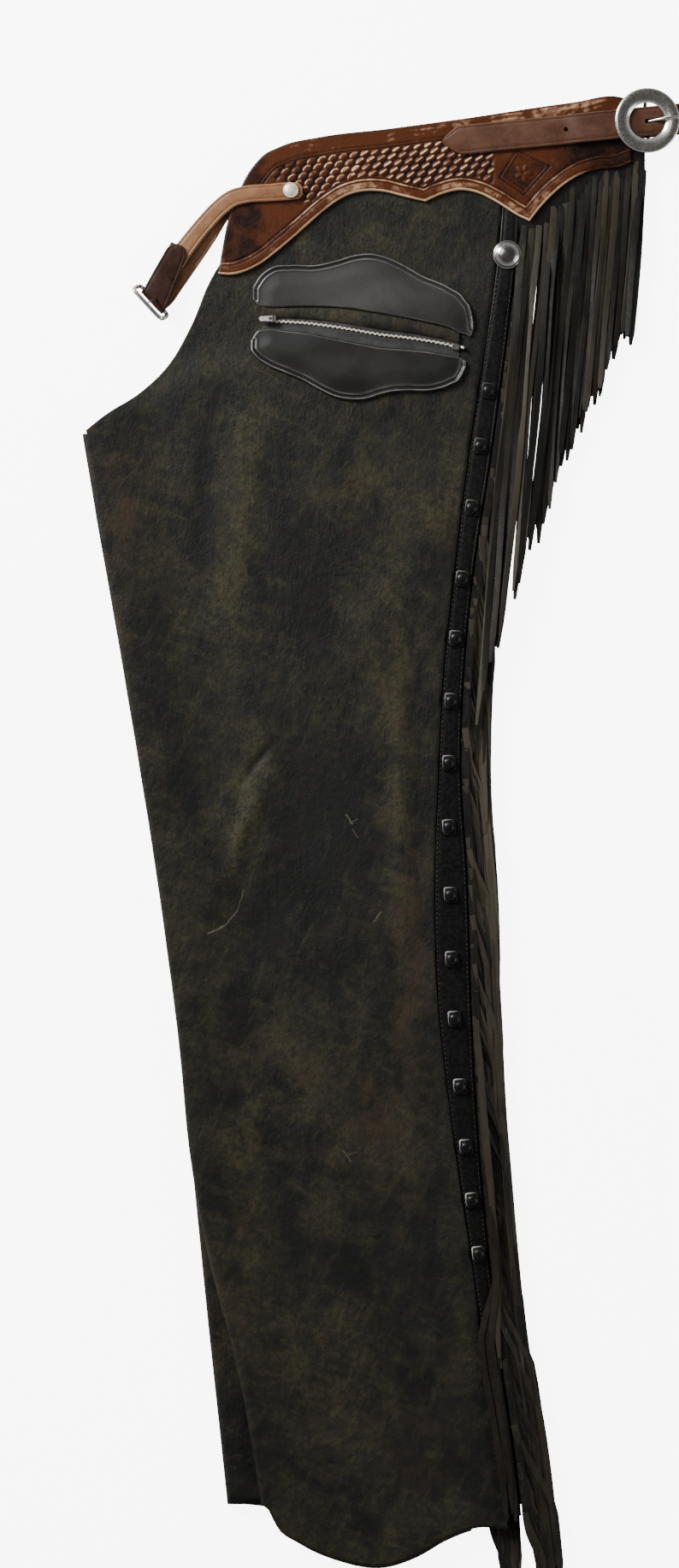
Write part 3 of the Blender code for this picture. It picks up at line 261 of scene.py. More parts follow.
class StrapLook(PropertyGroup):
    back: FloatVectorProperty(
        name="Back belt", description="Russet strap leather", default=(0.062, 0.0235, 0.0105),
        subtype="COLOR", size=3, min=0.0, max=1.0,
    )
    front: FloatVectorProperty(
        name="Front tie", description="Tan strap leather", default=(0.190, 0.088, 0.038),
        subtype="COLOR", size=3, min=0.0, max=1.0,
    )
    chape: FloatVectorProperty(
        name="Sleeve", description="Dark brown sleeve that holds a buckle", default=(
            0.0205, 0.0062, 0.0032
        ),
        subtype="COLOR", size=3, min=0.0, max=1.0,
    )


class PocketLook(PropertyGroup):
    face: FloatVectorProperty(
        name="Pocket leather", description="Smooth charcoal leather", default=(0.0080, 0.0074, 0.0068),
        subtype="COLOR", size=3, min=0.0, max=1.0,
    )
    bead: FloatProperty(name="Raised edge", description="Height of the raised edge",
                        default=0.0009, unit="LENGTH", precision=4)
    tooth_pitch: FloatProperty(name="Zip tooth pitch", description="Distance from tooth to tooth",
                               default=0.0017, unit="LENGTH", precision=4)


class FringeLook(PropertyGroup):
    colour: FloatVectorProperty(
        name="Fringe", description="Cut strands of oiled hide", default=(0.0098, 0.0083, 0.0055),
        subtype="COLOR", size=3, min=0.0, max=1.0,
    )
    strands: IntProperty(name="Outseam strands", description="Strands in each ply of an outseam's fringe",
                         default=104, min=10, max=200)
    hip_strands: IntProperty(
        name="Hip strands", description="Strands of a hip fringe", default=34, min=8, max=60,
    )
    width: FloatProperty(name="Strand width", description="Width of an outseam strand",
                         default=0.0046, unit="LENGTH", precision=4)
    hip_width: FloatProperty(name="Hip strand width", description="Width of a hip strand",
                             default=0.0043, unit="LENGTH", precision=4)


class FittingLook(PropertyGroup):
    nickel: FloatVectorProperty(
        name="Nickel", description="Polished nickel", default=(0.66, 0.63, 0.59),
        subtype="COLOR", size=3, min=0.0, max=1.0,
    )
    black: FloatVectorProperty(
        name="Black snap", description="Black enamel", default=(0.0022, 0.0022, 0.0023),
        subtype="COLOR", size=3, min=0.0, max=1.0,
    )


class StageLook(PropertyGroup):
    floor: FloatVectorProperty(
        name="Floor", description="Pale floor", default=(0.90, 0.90, 0.90),
        subtype="COLOR", size=3, min=0.0, max=1.0,
    )
    distance: FloatProperty(name="Camera height", description="Camera above the top layer",
                            default=2.685, unit="LENGTH")
    key: FloatProperty(
        name="Key light", description="Power of the upper left light", default=200.0, unit="POWER",
    )
    fill: FloatProperty(
        name="Fill light", description="Power of the right-hand light", default=22.0, unit="POWER",
    )
    top: FloatProperty(
        name="Top light", description="Power of the soft light above", default=6.0, unit="POWER",
    )
    sky: FloatProperty(
        name="Sky", description="Strength of the world's light", default=0.6, min=0.0, max=4.0,
    )
    zenith: FloatProperty(
        name="Zenith", description="Share of the sky's strength straight overhead", default=0.16,
        min=0.0, max=1.0,
    )
    glow: FloatProperty(
        name="Sweep glow", description="Light that the camera sees in the floor, as in a lit sweep",
        default=7.0, min=0.0, max=20.0,
    )


def column(table, name):
    heads, rows = table
    place = heads.index(name)
    return np.array([row[place] for row in rows], float)


def curve_through(keys, values, at):
    """A smooth curve through a table's points, read at one key or at many."""
    at = np.clip(at, keys[0], keys[-1])
    slopes = np.gradient(values, keys)
    left = np.clip(np.searchsorted(keys, at) - 1, 0, len(keys) - 2)
    step = keys[left + 1] - keys[left]
    t = (at - keys[left]) / step
    rise = (values[left + 1] - values[left]) * t * t * (3 - 2 * t)
    bend = step * t * (1 - t) * (slopes[left] * (1 - t) - slopes[left + 1] * t)
    return values[left] + rise + bend


def read(table, key, name, at):
    return curve_through(column(table, key), column(table, name), at)


def smooth_step(t):
    t = np.clip(t, 0.0, 1.0)
    return t * t * (3.0 - 2.0 * t)


def ramp(at, start, reach):
    """Rises smoothly from 0 at its start to 1 a reach further on."""
    return smooth_step((at - start) / reach)


def slip(y, leg):
    return read(SLIP, "y", "shift", y) if leg == "right" else 0.0


def fold_x(y, leg):
    return read(FOLD, "y", "x", y) + read(SLIP, "y", "shift", y) - slip(y, leg)


def panel_x(y, leg="left"):
    return read(OUTSEAM, "y", "panel", y) - slip(y, leg)


def strip_x(y, leg="left"):
    return read(OUTSEAM, "y", "strip", y) - slip(y, leg)


def back_top_y(x):
    share = (x - TIP[0]) / (BACK_TOP_OUTER[0] - TIP[0])
    return TIP[1] + share * (BACK_TOP_OUTER[1] - TIP[1])


def yoke_low_y(x):
    return np.interp(x, column(YOKE_LOW, "x"), column(YOKE_LOW, "y"))


def fold_lift(x, y, leg):
    start = fold_x(y, leg) + FOLD_RADIUS + LEATHER / 2
    return (2 * FOLD_RADIUS - PLY) * (1 - smooth_step((x - start) / FOLD_REACH))


def far_front(x, y):
    above = y - yoke_low_y(x) - YOKE_RAMP[0]
    return FAR_FRONT + YOKE_LIFT * smooth_step(above / (YOKE_RAMP[1] - YOKE_RAMP[0]))


def far_back(x, y):
    return FAR_FRONT + PLY + fold_lift(x, y, "right")


def near_back(x, y):
    return far_back(x, y) + LEATHER + LEG_GAP


def crease_sum(x, y):
    """The height of all ridges and troughs together."""
    total = np.zeros(np.broadcast(x, y).shape)
    for x0, y0, x1, y1, bow, height, width in CREASES[1]:
        along = np.array((x1 - x0, y1 - y0))
        length = np.hypot(*along)
        t = np.clip(((x - x0) * along[0] + (y - y0) * along[1]) / length**2, 0.0, 1.0)
        side = np.array((-along[1], along[0])) / length
        middle_x = x0 + t * along[0] + side[0] * bow * 4 * t * (1 - t)
        middle_y = y0 + t * along[1] + side[1] * bow * 4 * t * (1 - t)
        away = np.hypot(x - middle_x, y - middle_y) / width
        total = total + height * np.sin(math.pi * np.clip(t, 0.03, 0.97)) ** 0.7 * np.exp(-away * away)
    return total


def crease_height(x, y):
    """The creases, and a slow unevenness between them."""
    waves = 0.28 * np.sin(x / 23.0 + y / 61.0) * np.sin(y / 37.0 - x / 90.0)
    waves = waves + 0.16 * np.sin(x / 11.0 - y / 29.0 + 1.3) * np.sin(y / 17.0 + x / 31.0)
    look = bpy.context.scene.chaps_legs
    calm = 1 - smooth_step((y - 395.0) / 40.0)
    return (crease_sum(x, y) + waves) * look.crease * calm


def near_front(x, y):
    on_leg = near_back(x, y) + PLY + fold_lift(x, y, "left") + crease_height(x, y)
    sink = smooth_step((y - back_top_y(x)) / BACK_TOP_RAMP)
    return on_leg + (NEAR_TOP_LEVEL - on_leg) * sink


def outline_distance(x, y, line):
    """How far each place is from a line of points."""
    nearest = np.full(np.broadcast(x, y).shape, 1e9)
    for (x0, y0), (x1, y1) in zip(line[:-1], line[1:]):
        dx, dy = x1 - x0, y1 - y0
        t = np.clip(((x - x0) * dx + (y - y0) * dy) / max(dx * dx + dy * dy, 1e-9), 0.0, 1.0)
        nearest = np.minimum(nearest, np.hypot(x - x0 - t * dx, y - y0 - t * dy))
    return nearest


def groove(away, at, width):
    return np.exp(-(((away - at) / width) ** 2))


def mesh_of(name, points, faces):
    """A mesh from points in millimetres, with its faces turned outwards."""
    mesh = bpy.data.meshes.new(name)
    mesh.from_pydata((np.asarray(points, float) * MM).tolist(), [], faces)
    shape = bmesh.new()
    shape.from_mesh(mesh)
    bmesh.ops.recalc_face_normals(shape, faces=shape.faces)
    shape.to_mesh(mesh)
    shape.free()
    return mesh


def put(name, points, faces, finish, slot, replaces=(), sharp=None):
    """Makes a piece from points in millimetres, in the frame, riding on the garment."""
    mesh = mesh_of(name, points, faces)
    mesh.materials.append(finish)
    mesh.shade_smooth()
    if sharp:
        mesh.set_sharp_from_angle(angle=math.radians(sharp))
    piece = bpy.data.objects.new(name, mesh)
    bpy.context.scene.collection.objects.link(piece)
    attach(piece, GARMENT)
    if replaces:
        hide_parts(*replaces)
    return piece


def paint(piece, name, values):
    """Stores one number for each point of a piece, for its material to read."""
    layer = piece.data.attributes.new(name, "FLOAT", "POINT")
    layer.data.foreach_set("value", np.asarray(values, np.float32).ravel())


def grid_faces(rows, columns, first=0):
    faces = []
    for r in range(rows - 1):
        for c in range(columns - 1):
            corner = first + r * columns + c
            faces.append((corner, corner + 1, corner + columns + 1, corner + columns))
    return faces


def loft(rings, closed_ends=True):
    """Points and faces of a tube through rings that all have the same number of points."""
    size = len(rings[0])
    points = [p for ring in rings for p in ring]
    faces = []
    for r in range(len(rings) - 1):
        for c in range(size):
            after = (c + 1) % size
            faces.append((r * size + c, r * size + after, (r + 1) * size + after, (r + 1) * size + c))
    if closed_ends:
        faces.append(tuple(range(size)))
        faces.append(tuple(range((len(rings) - 1) * size, len(rings) * size)))
    return points, faces


def merge(parts):
    """One mesh's points and faces from many."""
    points, faces = [], []
    for some_points, some_faces in parts:
        first = len(points)
        points += [tuple(p) for p in some_points]
        faces += [tuple(i + first for i in face) for face in some_faces]
    return points, faces


def smooth_path(points, steps):
    """Points spaced evenly along a smooth curve through a few."""
    points = np.asarray(points, float)
    reach = np.concatenate([[0.0], np.cumsum(np.linalg.norm(np.diff(points, axis=0), axis=1))])
    at = np.linspace(0.0, reach[-1], steps)
    return np.stack([curve_through(reach, points[:, i], at) for i in range(points.shape[1])], axis=1)


STRAP_SECTION = (
    ("inset", "height"),
    (
        (0.0, -0.55), (0.0, 0.35), (0.35, 0.85), (0.9, 1.0), (1.5, 1.0), (1.95, 0.74), (2.4, 1.0),
        (4.5, 1.07),
    ),
)


def strap(path, widths, thickness, sides=None):
    """Points and faces of a strap with rounded edges and an edge line, and which points are cut edge."""
    path = np.asarray(path, float)
    ways = np.gradient(path, axis=0)
    ways /= np.linalg.norm(ways, axis=1)[:, None]
    rings, cut = [], []
    for i, middle in enumerate(path):
        side = np.array((-ways[i][1], ways[i][0], 0.0)) if sides is None else np.asarray(sides[i], float)
        side = side / np.linalg.norm(side)
        up = np.cross(side, ways[i]) * (-1.0)
        up /= np.linalg.norm(up)
        half = widths[i] / 2
        ring = []
        shrink = min(1.0, half / 6.0)
        upper = [(-1, inset, height) for inset, height in STRAP_SECTION[1]]
        upper += [(1, inset, height) for inset, height in reversed(STRAP_SECTION[1])]
        lower = [(1, 0.5, -1.0), (-1, 0.5, -1.0)]
        for sign, inset, height in upper + lower:
            ring.append(tuple(middle + side * sign * (half - inset * shrink) + up * height * thickness / 2))
            cut.append(1.0 if inset < 0.2 else 0.45 if inset < 0.5 else 0.0)
        rings.append(ring)
    points, faces = loft(rings)
    return points, faces, cut


def put_strap(name, path, widths, thickness, finish, slot, replaces, sides=None):
    points, faces, cut = strap(path, widths, thickness, sides)
    piece = put(name, points, faces, finish, slot, replaces, sharp=50)
    paint(piece, "cut", cut)
    return piece


def turned(profile, steps, place, tilt=None):
    """Points and faces of a piece turned about its axis, from a profile of radius and height."""
    rings = []
    for i in range(steps):
        turn = 2 * math.pi * i / steps
        rings.append([(r * math.cos(turn), r * math.sin(turn), z) for r, z in profile])
    size = len(profile)
    points = [p for ring in rings for p in ring]
    faces = []
    for i in range(steps):
        after = (i + 1) % steps
        for k in range(size):
            up = (k + 1) % size
            faces.append((i * size + k, after * size + k, after * size + up, i * size + up))
    matrix = Matrix.Translation(place) @ (tilt or Matrix.Identity(4))
    return [tuple(matrix @ Vector(p)) for p in points], faces


def rounded_profile(shape):
    """A turned profile whose middle radius isn't quite nought, so that every edge has a length."""
    return [(max(r, 0.02), z) for r, z in shape]


def tube(path, radius, around=12, closed=False):
    """Points and faces of a round wire along a path."""
    path = np.asarray(path, float)
    ways = np.gradient(path, axis=0)
    if closed:
        ways = np.roll(path, -1, axis=0) - np.roll(path, 1, axis=0)
    rings = []
    side = np.array((0.3, 0.2, 1.0))
    radii = np.broadcast_to(radius, (len(path),))
    for middle, way, r in zip(path, ways, radii):
        way = way / np.linalg.norm(way)
        side = side - way * side.dot(way)
        side /= np.linalg.norm(side)
        other = np.cross(way, side)
        angles = [2 * math.pi * k / around for k in range(around)]
        rings.append([tuple(middle + (side * math.cos(a) + other * math.sin(a)) * r) for a in angles])
    if closed:
        rings.append(rings[0])
    return loft(rings, closed_ends=not closed)


def sheet_of(flat):
    """Turns the flat size, in millimetres, of the sheet that a leather piece was cut from into metres;
    nothing is kept.
    """
    flat = (flat[0] * MM, flat[1] * MM)


# Shader helpers

GRAIN_DEPTH = 0.0003
METAL_GRAIN_DEPTH = 0.0002


def node(tree, kind, inputs=(), **settings):
    made = tree.nodes.new(kind)
    for name, value in settings.items():
        setattr(made, name, value)
    for socket, value in dict(inputs).items():
        if isinstance(value, bpy.types.NodeSocket):
            tree.links.new(value, made.inputs[socket])
        else:
            made.inputs[socket].default_value = value
    return made


def maths(tree, operation, first, second=0.0, clamp=False):
    return node(
        tree, "ShaderNodeMath", {0: first, 1: second}, operation=operation, use_clamp=clamp,
    ).outputs[0]


def blend(tree, share, first, second, kind="MIX"):
    made = node(tree, "ShaderNodeMix", data_type="RGBA", blend_type=kind)
    for socket, value in ((0, share), (6, first), (7, second)):
        if isinstance(value, bpy.types.NodeSocket):
            tree.links.new(value, made.inputs[socket])
        else:
            made.inputs[socket].default_value = value if socket == 0 else (*value[:3], 1.0)
    return made.outputs[2]


def stretch(tree, value, low, high, to_low=0.0, to_high=1.0):
    made = node(tree, "ShaderNodeMapRange", {0: value, 1: low, 2: high, 3: to_low, 4: to_high})
    made.interpolation_type = "SMOOTHSTEP"
    return made.outputs[0]


def new_group(name, inputs, outputs):
    group = bpy.data.node_groups.new(name, "ShaderNodeTree")
    for label, kind, value in inputs:
        socket = group.interface.new_socket(label, in_out="INPUT", socket_type=kind)
        if value is not None:
            socket.default_value = value
    for label, kind in outputs:
        group.interface.new_socket(label, in_out="OUTPUT", socket_type=kind)
    start = group.nodes.new("NodeGroupInput")
    end = group.nodes.new("NodeGroupOutput")
    return group, start, end


def noise(tree, vector, scale, detail=3.0, roughness=0.55, distortion=0.0):
    inputs = {
        "Vector": vector, "Scale": scale, "Detail": detail, "Roughness": roughness,
        "Distortion": distortion,
    }
    return node(tree, "ShaderNodeTexNoise", inputs).outputs[0]


def made_once(store, name):
    """Builds a node group or material when it's first asked for, and gives the same one after that."""

    def keep(build):
        def give():
            found = getattr(bpy.data, store)
            return found[name] if name in found else build(name)

        return give

    return keep


@made_once("node_groups", "Hide mottle")
def mottle_group(name):
    """Broad clouds, middling patches and fine specks, at one size."""
    inputs = [
        ("Vector", "NodeSocketVector", None), ("Size", "NodeSocketFloat", 0.1),
        ("Seed", "NodeSocketFloat", 0.0),
    ]
    outputs = [("Broad", "NodeSocketFloat"), ("Patch", "NodeSocketFloat"), ("Fine", "NodeSocketFloat")]
    group, start, end = new_group(name, inputs, outputs)
    moved = node(group, "ShaderNodeVectorMath", {0: start.outputs["Vector"]}, operation="ADD")
    seed = node(group, "ShaderNodeCombineXYZ", {0: start.outputs["Seed"], 1: start.outputs["Seed"]})
    group.links.new(seed.outputs[0], moved.inputs[1])
    scale = maths(group, "DIVIDE", 1.0, start.outputs["Size"])
    broad = noise(group, moved.outputs[0], scale, 4.0, 0.6, 0.3)
    patch = noise(group, moved.outputs[0], maths(group, "MULTIPLY", scale, 3.1), 5.0, 0.62, 0.5)
    fine = noise(group, moved.outputs[0], maths(group, "MULTIPLY", scale, 17.0), 4.0, 0.65)
    for label, value in (("Broad", broad), ("Patch", patch), ("Fine", fine)):
        group.links.new(stretch(group, value, 0.3, 0.7), end.inputs[label])
    return group


@made_once("node_groups", "Wiped strokes")
def smear_group(name):
    """Short strokes that run two ways, as oil wiped over a hide leaves them."""
    inputs = [("Vector", "NodeSocketVector", None), ("Size", "NodeSocketFloat", 0.01)]
    group, start, end = new_group(name, inputs, [("Mask", "NodeSocketFloat")])
    scale = maths(group, "DIVIDE", 1.0, start.outputs["Size"])
    strokes = []
    for turn, thin in ((1.15, 0.22), (-0.35, 0.30)):
        along = node(
            group, "ShaderNodeMapping",
            {"Vector": start.outputs["Vector"], "Rotation": (0.0, 0.0, -turn)},
        )
        along = node(group, "ShaderNodeMapping", {"Vector": along.outputs[0], "Scale": (thin, 1.0, 1.0)})
        strokes.append(stretch(group, noise(group, along.outputs[0], scale, 5.0, 0.65, 0.4), 0.42, 0.72))
    group.links.new(maths(group, "MAXIMUM", *strokes), end.inputs["Mask"])
    return group


@made_once("node_groups", "Leather grain")
def grain_group(name):
    """Leather grain: pebbles with pores between, and a finer nap."""
    inputs = [
        ("Vector", "NodeSocketVector", None), ("Size", "NodeSocketFloat", 0.0015),
        ("Nap", "NodeSocketFloat", 0.5),
    ]
    group, start, end = new_group(name, inputs, [("Height", "NodeSocketFloat")])
    scale = maths(group, "DIVIDE", 1.0, start.outputs["Size"])
    cells = node(group, "ShaderNodeTexVoronoi", {"Vector": start.outputs["Vector"], "Scale": scale})
    cells.feature = "SMOOTH_F1"
    pebble = maths(group, "SUBTRACT", 1.0, cells.outputs["Distance"])
    nap = noise(group, start.outputs["Vector"], maths(group, "MULTIPLY", scale, 2.6), 3.0, 0.7)
    nap = maths(group, "MULTIPLY", nap, start.outputs["Nap"])
    group.links.new(maths(group, "ADD", pebble, nap), end.inputs["Height"])
    return group


@made_once("node_groups", "Scratch")
def scratch_group(name):
    """One scratch: a thin line from one place to another, as a mask."""
    inputs = [(label, "NodeSocketVector", None) for label in ("Vector", "Start", "End")]
    inputs.append(("Width", "NodeSocketFloat", 0.001))
    group, start, end = new_group(name, inputs, [("Mask", "NodeSocketFloat")])
    flat = node(
        group, "ShaderNodeVectorMath", {0: start.outputs["Vector"], 1: (1.0, 1.0, 0.0)},
        operation="MULTIPLY",
    )
    wobble = node(
        group, "ShaderNodeTexNoise",
        {"Vector": start.outputs["Vector"], "Scale": 260.0, "Detail": 2.0},
    )
    shake = node(
        group, "ShaderNodeVectorMath", {0: wobble.outputs["Color"], 1: (0.5, 0.5, 0.5)},
        operation="SUBTRACT",
    )
    shake = node(
        group, "ShaderNodeVectorMath", {0: shake.outputs[0], 1: (0.0022, 0.0022, 0.0)},
        operation="MULTIPLY",
    )
    place = node(
        group, "ShaderNodeVectorMath", {0: flat.outputs[0], 1: shake.outputs[0]}, operation="ADD",
    ).outputs[0]
    reach = node(
        group, "ShaderNodeVectorMath", {0: place, 1: start.outputs["Start"]}, operation="SUBTRACT",
    ).outputs[0]
    line = node(
        group, "ShaderNodeVectorMath", {0: start.outputs["End"], 1: start.outputs["Start"]},
        operation="SUBTRACT",
    ).outputs[0]
    dot = node(group, "ShaderNodeVectorMath", {0: reach, 1: line}, operation="DOT_PRODUCT").outputs["Value"]
    size = node(group, "ShaderNodeVectorMath", {0: line, 1: line}, operation="DOT_PRODUCT").outputs["Value"]
    share = maths(group, "DIVIDE", dot, size, clamp=True)
    foot = node(group, "ShaderNodeVectorMath", {0: line, "Scale": share}, operation="SCALE").outputs[0]
    away = node(group, "ShaderNodeVectorMath", {0: reach, 1: foot}, operation="DISTANCE").outputs["Value"]
    group.links.new(
        stretch(group, maths(group, "DIVIDE", away, start.outputs["Width"]), 1.0, 0.2),
        end.inputs["Mask"],
    )
    return group


def use_group(tree, group, inputs):
    made = tree.nodes.new("ShaderNodeGroup")
    made.node_tree = group
    for socket, value in inputs.items():
        if isinstance(value, bpy.types.NodeSocket):
            tree.links.new(value, made.inputs[socket])
        else:
            made.inputs[socket].default_value = value
    return made


def begin_material(name):
    """A new material: its tree, its main shader and the piece's own coordinates."""
    made = bpy.data.materials.new(name)
    made.use_nodes = True
    tree = made.node_tree
    shader = tree.nodes["Principled BSDF"]
    where = tree.nodes.new("ShaderNodeTexCoord").outputs["Object"]
    return made, tree, shader, where


def set_bump(tree, shader, height, strength, distance):
    bump = node(tree, "ShaderNodeBump", {"Strength": strength, "Distance": distance, "Height": height})
    tree.links.new(bump.outputs[0], shader.inputs["Normal"])


def set_grain(tree, shader, where, size, nap, strength):
    grain = use_group(tree, grain_group(), {"Vector": where, "Size": size, "Nap": nap})
    set_bump(tree, shader, grain.outputs["Height"], strength, GRAIN_DEPTH)


def set_surface(tree, shader, colour, rough, low, high, shine=None, metal=None):
    """Gives a shader its colour, a roughness between two limits, its shine and how far it's metal."""
    tree.links.new(colour, shader.inputs["Base Color"])
    tree.links.new(stretch(tree, rough, 0.0, 1.0, low, high), shader.inputs["Roughness"])
    if shine is not None:
        shader.inputs["Specular IOR Level"].default_value = shine
    if metal is not None:
        shader.inputs["Metallic"].default_value = metal


def mottle(tree, vector, size, seed):
    inputs = {"Vector": vector, "Size": size, "Seed": seed}
    return use_group(tree, mottle_group(), inputs).outputs


def attribute(tree, name):
    return node(tree, "ShaderNodeAttribute", attribute_name=name).outputs["Fac"]


@made_once("materials", "Oiled hide")
def hide_finish(name):
    """The legs' mottled oiled hide."""
    look = bpy.context.scene.chaps_legs
    made, tree, shader, where = begin_material(name)
    squash = node(tree, "ShaderNodeMapping", {"Vector": where, "Scale": (1.0, 0.62, 1.0)}).outputs[0]
    tone = mottle(tree, squash, 0.085, 0.31)
    warm = mottle(tree, squash, 0.045, 4.7)
    close = mottle(tree, where, 0.011, 2.9)
    # The pale attribute holds the hide's stains, and also a painted highlight on crease ridges and painted
    # shade in troughs
    pale = maths(
        tree, "MULTIPLY", attribute(tree, "pale"),
        stretch(tree, warm["Patch"], 0.1, 0.8, 0.35, 1.25),
    )
    pale = maths(tree, "ADD", pale, maths(tree, "MULTIPLY", tone["Broad"], 0.36))
    pale = maths(tree, "ADD", pale, maths(tree, "MULTIPLY", tone["Patch"], 0.46))
    pale = maths(tree, "ADD", pale, maths(tree, "MULTIPLY", close["Broad"], 0.20))
    smear = use_group(tree, smear_group(), {"Vector": where, "Size": 0.010})
    pale = maths(tree, "ADD", pale, stretch(tree, smear.outputs["Mask"], 0.0, 1.0, -0.14, 0.26))
    pale = maths(tree, "SUBTRACT", pale, 0.24, clamp=True)
    pale = maths(
        tree, "MULTIPLY", pale, stretch(tree, close["Patch"], 0.0, 1.0, 0.45, 1.25),
        clamp=True,
    )
    colour = blend(tree, pale, look.dark, look.olive)
    brown = maths(
        tree, "ADD", maths(tree, "MULTIPLY", warm["Patch"], 0.5), attribute(tree, "brown"),
    )
    brown = maths(tree, "MULTIPLY", maths(tree, "SUBTRACT", brown, 0.26, clamp=True), 0.85, clamp=True)
    brown = maths(
        tree, "MULTIPLY", brown, stretch(tree, close["Broad"], 0.0, 1.0, 0.3, 1.1),
        clamp=True,
    )
    colour = blend(tree, brown, colour, look.brown)
    specks = node(tree, "ShaderNodeTexVoronoi", {"Vector": where, "Scale": 95.0})
    speck = stretch(tree, specks.outputs["Distance"], 0.06, 0.03)
    rare = stretch(tree, noise(tree, where, 27.0, 1.0), 0.60, 0.68)
    mark = maths(tree, "MULTIPLY", maths(tree, "MULTIPLY", speck, rare), 0.45)
    for x0, y0, x1, y1, width, strength in SCRATCHES[1]:
        ends = {"Start": (x0 * MM, y0 * MM, 0.0), "End": (x1 * MM, y1 * MM, 0.0), "Width": width * MM}
        one = use_group(tree, scratch_group(), {"Vector": where, **ends})
        mark = maths(tree, "MAXIMUM", mark, maths(tree, "MULTIPLY", one.outputs["Mask"], strength))
    colour = blend(tree, mark, colour, look.scuff)
    set_surface(tree, shader, colour, tone["Patch"], 0.56, 0.74, shine=0.22)
    grain = use_group(tree, grain_group(), {"Vector": where, "Size": look.grain, "Nap": 0.8})
    height = maths(tree, "ADD", grain.outputs["Height"], maths(tree, "MULTIPLY", tone["Fine"], 1.4))
    set_bump(tree, shader, height, 0.45, 0.0004)
    return made


@made_once("materials", "Stamped saddle leather")
def saddle_finish(name):
    """The yokes' russet leather: darker in its stamping, rubbed pale on top, painted highlights on the
    stamps, a painted belt shadow.
    """
    look = bpy.context.scene.chaps_yokes
    made, tree, shader, where = begin_material(name)
    stamping_tone_and_painted_light = attribute(tree, "stamping_tone_and_painted_light")
    tone = mottle(tree, where, 0.03, 2.2)
    shade = maths(tree, "ADD", stamping_tone_and_painted_light, stretch(tree, tone["Patch"], 0.0, 1.0, -0.10, 0.07))
    shade = maths(tree, "ADD", shade, stretch(tree, tone["Broad"], 0.0, 1.0, -0.14, 0.05))
    colour = blend(tree, stretch(tree, shade, 0.0, 0.5), look.deep, look.base)
    colour = blend(tree, stretch(tree, shade, 0.60, 1.0), colour, look.pale)
    set_surface(tree, shader, colour, tone["Fine"], 0.34, 0.50, shine=0.17)
    set_grain(tree, shader, where, 0.0011, 0.5, 0.22)
    return made


def strap_finish(name, colour, size, seed, shine=0.26, edge=None):
    """Smooth strap leather with a paler cut edge, a little worn from handling. On the snap tabs the paler
    edge is a painted glint.
    """
    if name in bpy.data.materials:
        return bpy.data.materials[name]
    made, tree, shader, where = begin_material(name)
    tone = mottle(tree, where, size, seed)
    dark = [c * 0.62 for c in colour]
    light = [min(1.0, c * 1.35 + 0.012) for c in colour]
    shade = maths(tree, "MULTIPLY", maths(tree, "ADD", tone["Broad"], tone["Patch"]), 0.5)
    worn = blend(tree, shade, dark, light)
    edge = edge or [min(1.0, c * 1.9 + 0.010) for c in colour]
    worn = blend(tree, maths(tree, "MULTIPLY", attribute(tree, "cut"), 0.75), worn, edge)
    set_surface(tree, shader, worn, tone["Fine"], 0.36, 0.52, shine=shine)
    set_grain(tree, shader, where, 0.0009, 0.6, 0.2)
    return made


def pocket_finish(name, painted_sheen):
    """Charcoal leather with a painted sheen, brightest in the middle, and paler raised edges, partly rubbed
    and partly painted highlight.
    """
    if name in bpy.data.materials:
        return bpy.data.materials[name]
    # Each piece is a lighter or darker copy of the same leather: painted sheen
    colour = [c * painted_sheen for c in bpy.context.scene.chaps_pocket.face]
    made, tree, shader, where = begin_material(name)
    tone = mottle(tree, where, 0.06, 7.3)
    # Painted sheen, brightest in the middle of the piece
    shine = maths(
        tree, "MULTIPLY", attribute(tree, "painted_sheen"),
        stretch(tree, tone["Broad"], 0.0, 1.0, 0.6, 1.0),
    )
    face = blend(tree, shine, [c * 0.62 for c in colour], [c * 2.0 for c in colour])
    # Paler lines along the raised edges: partly rubbed, partly a painted highlight
    rubbed = maths(
        tree, "MULTIPLY", attribute(tree, "rubbed"),
        stretch(tree, tone["Patch"], 0.0, 1.0, 0.4, 1.0),
    )
    face = blend(tree, rubbed, face, (0.30, 0.29, 0.26))
    set_surface(tree, shader, face, tone["Broad"], 0.34, 0.42)
    set_grain(tree, shader, where, 0.0009, 0.4, 0.18)
    return made


@made_once("materials", "Black closure leather")
def closure_finish(name):
    made, tree, shader, where = begin_material(name)
    tone = mottle(tree, where, 0.05, 1.1)
    face = blend(tree, tone["Patch"], (0.0010, 0.0010, 0.0010), (0.0032, 0.0028, 0.0026))
    face = blend(tree, maths(tree, "MULTIPLY", attribute(tree, "cut"), 0.35), face, (0.04, 0.037, 0.033))
    set_surface(tree, shader, face, tone["Fine"], 0.38, 0.55, shine=0.2)
    set_grain(tree, shader, where, 0.0010, 0.5, 0.25)
    return made


@made_once("materials", "Fringe leather")
def fringe_finish(name):
    """Cut strands, each of its own shade and warmth."""
    colour = bpy.context.scene.chaps_fringe.colour
    made, tree, shader, where = begin_material(name)
    squash = node(tree, "ShaderNodeMapping", {"Vector": where, "Scale": (1.0, 0.25, 1.0)}).outputs[0]
    tone = mottle(tree, squash, 0.03, 5.5)
    shade = maths(
        tree, "ADD", maths(tree, "MULTIPLY", tone["Patch"], 0.4), attribute(tree, "shade"),
    )
    face = blend(
        tree, stretch(tree, shade, 0.1, 1.5), [c * 0.14 for c in colour], [c * 4.2 for c in colour],
    )
    warm = maths(tree, "MULTIPLY", attribute(tree, "warm"), 0.55)
    face = blend(tree, warm, face, (0.0150, 0.0085, 0.0050))
    set_surface(tree, shader, face, tone["Fine"], 0.5, 0.7, shine=0.2)
    set_grain(tree, shader, where, 0.0013, 0.9, 0.35)
    return made


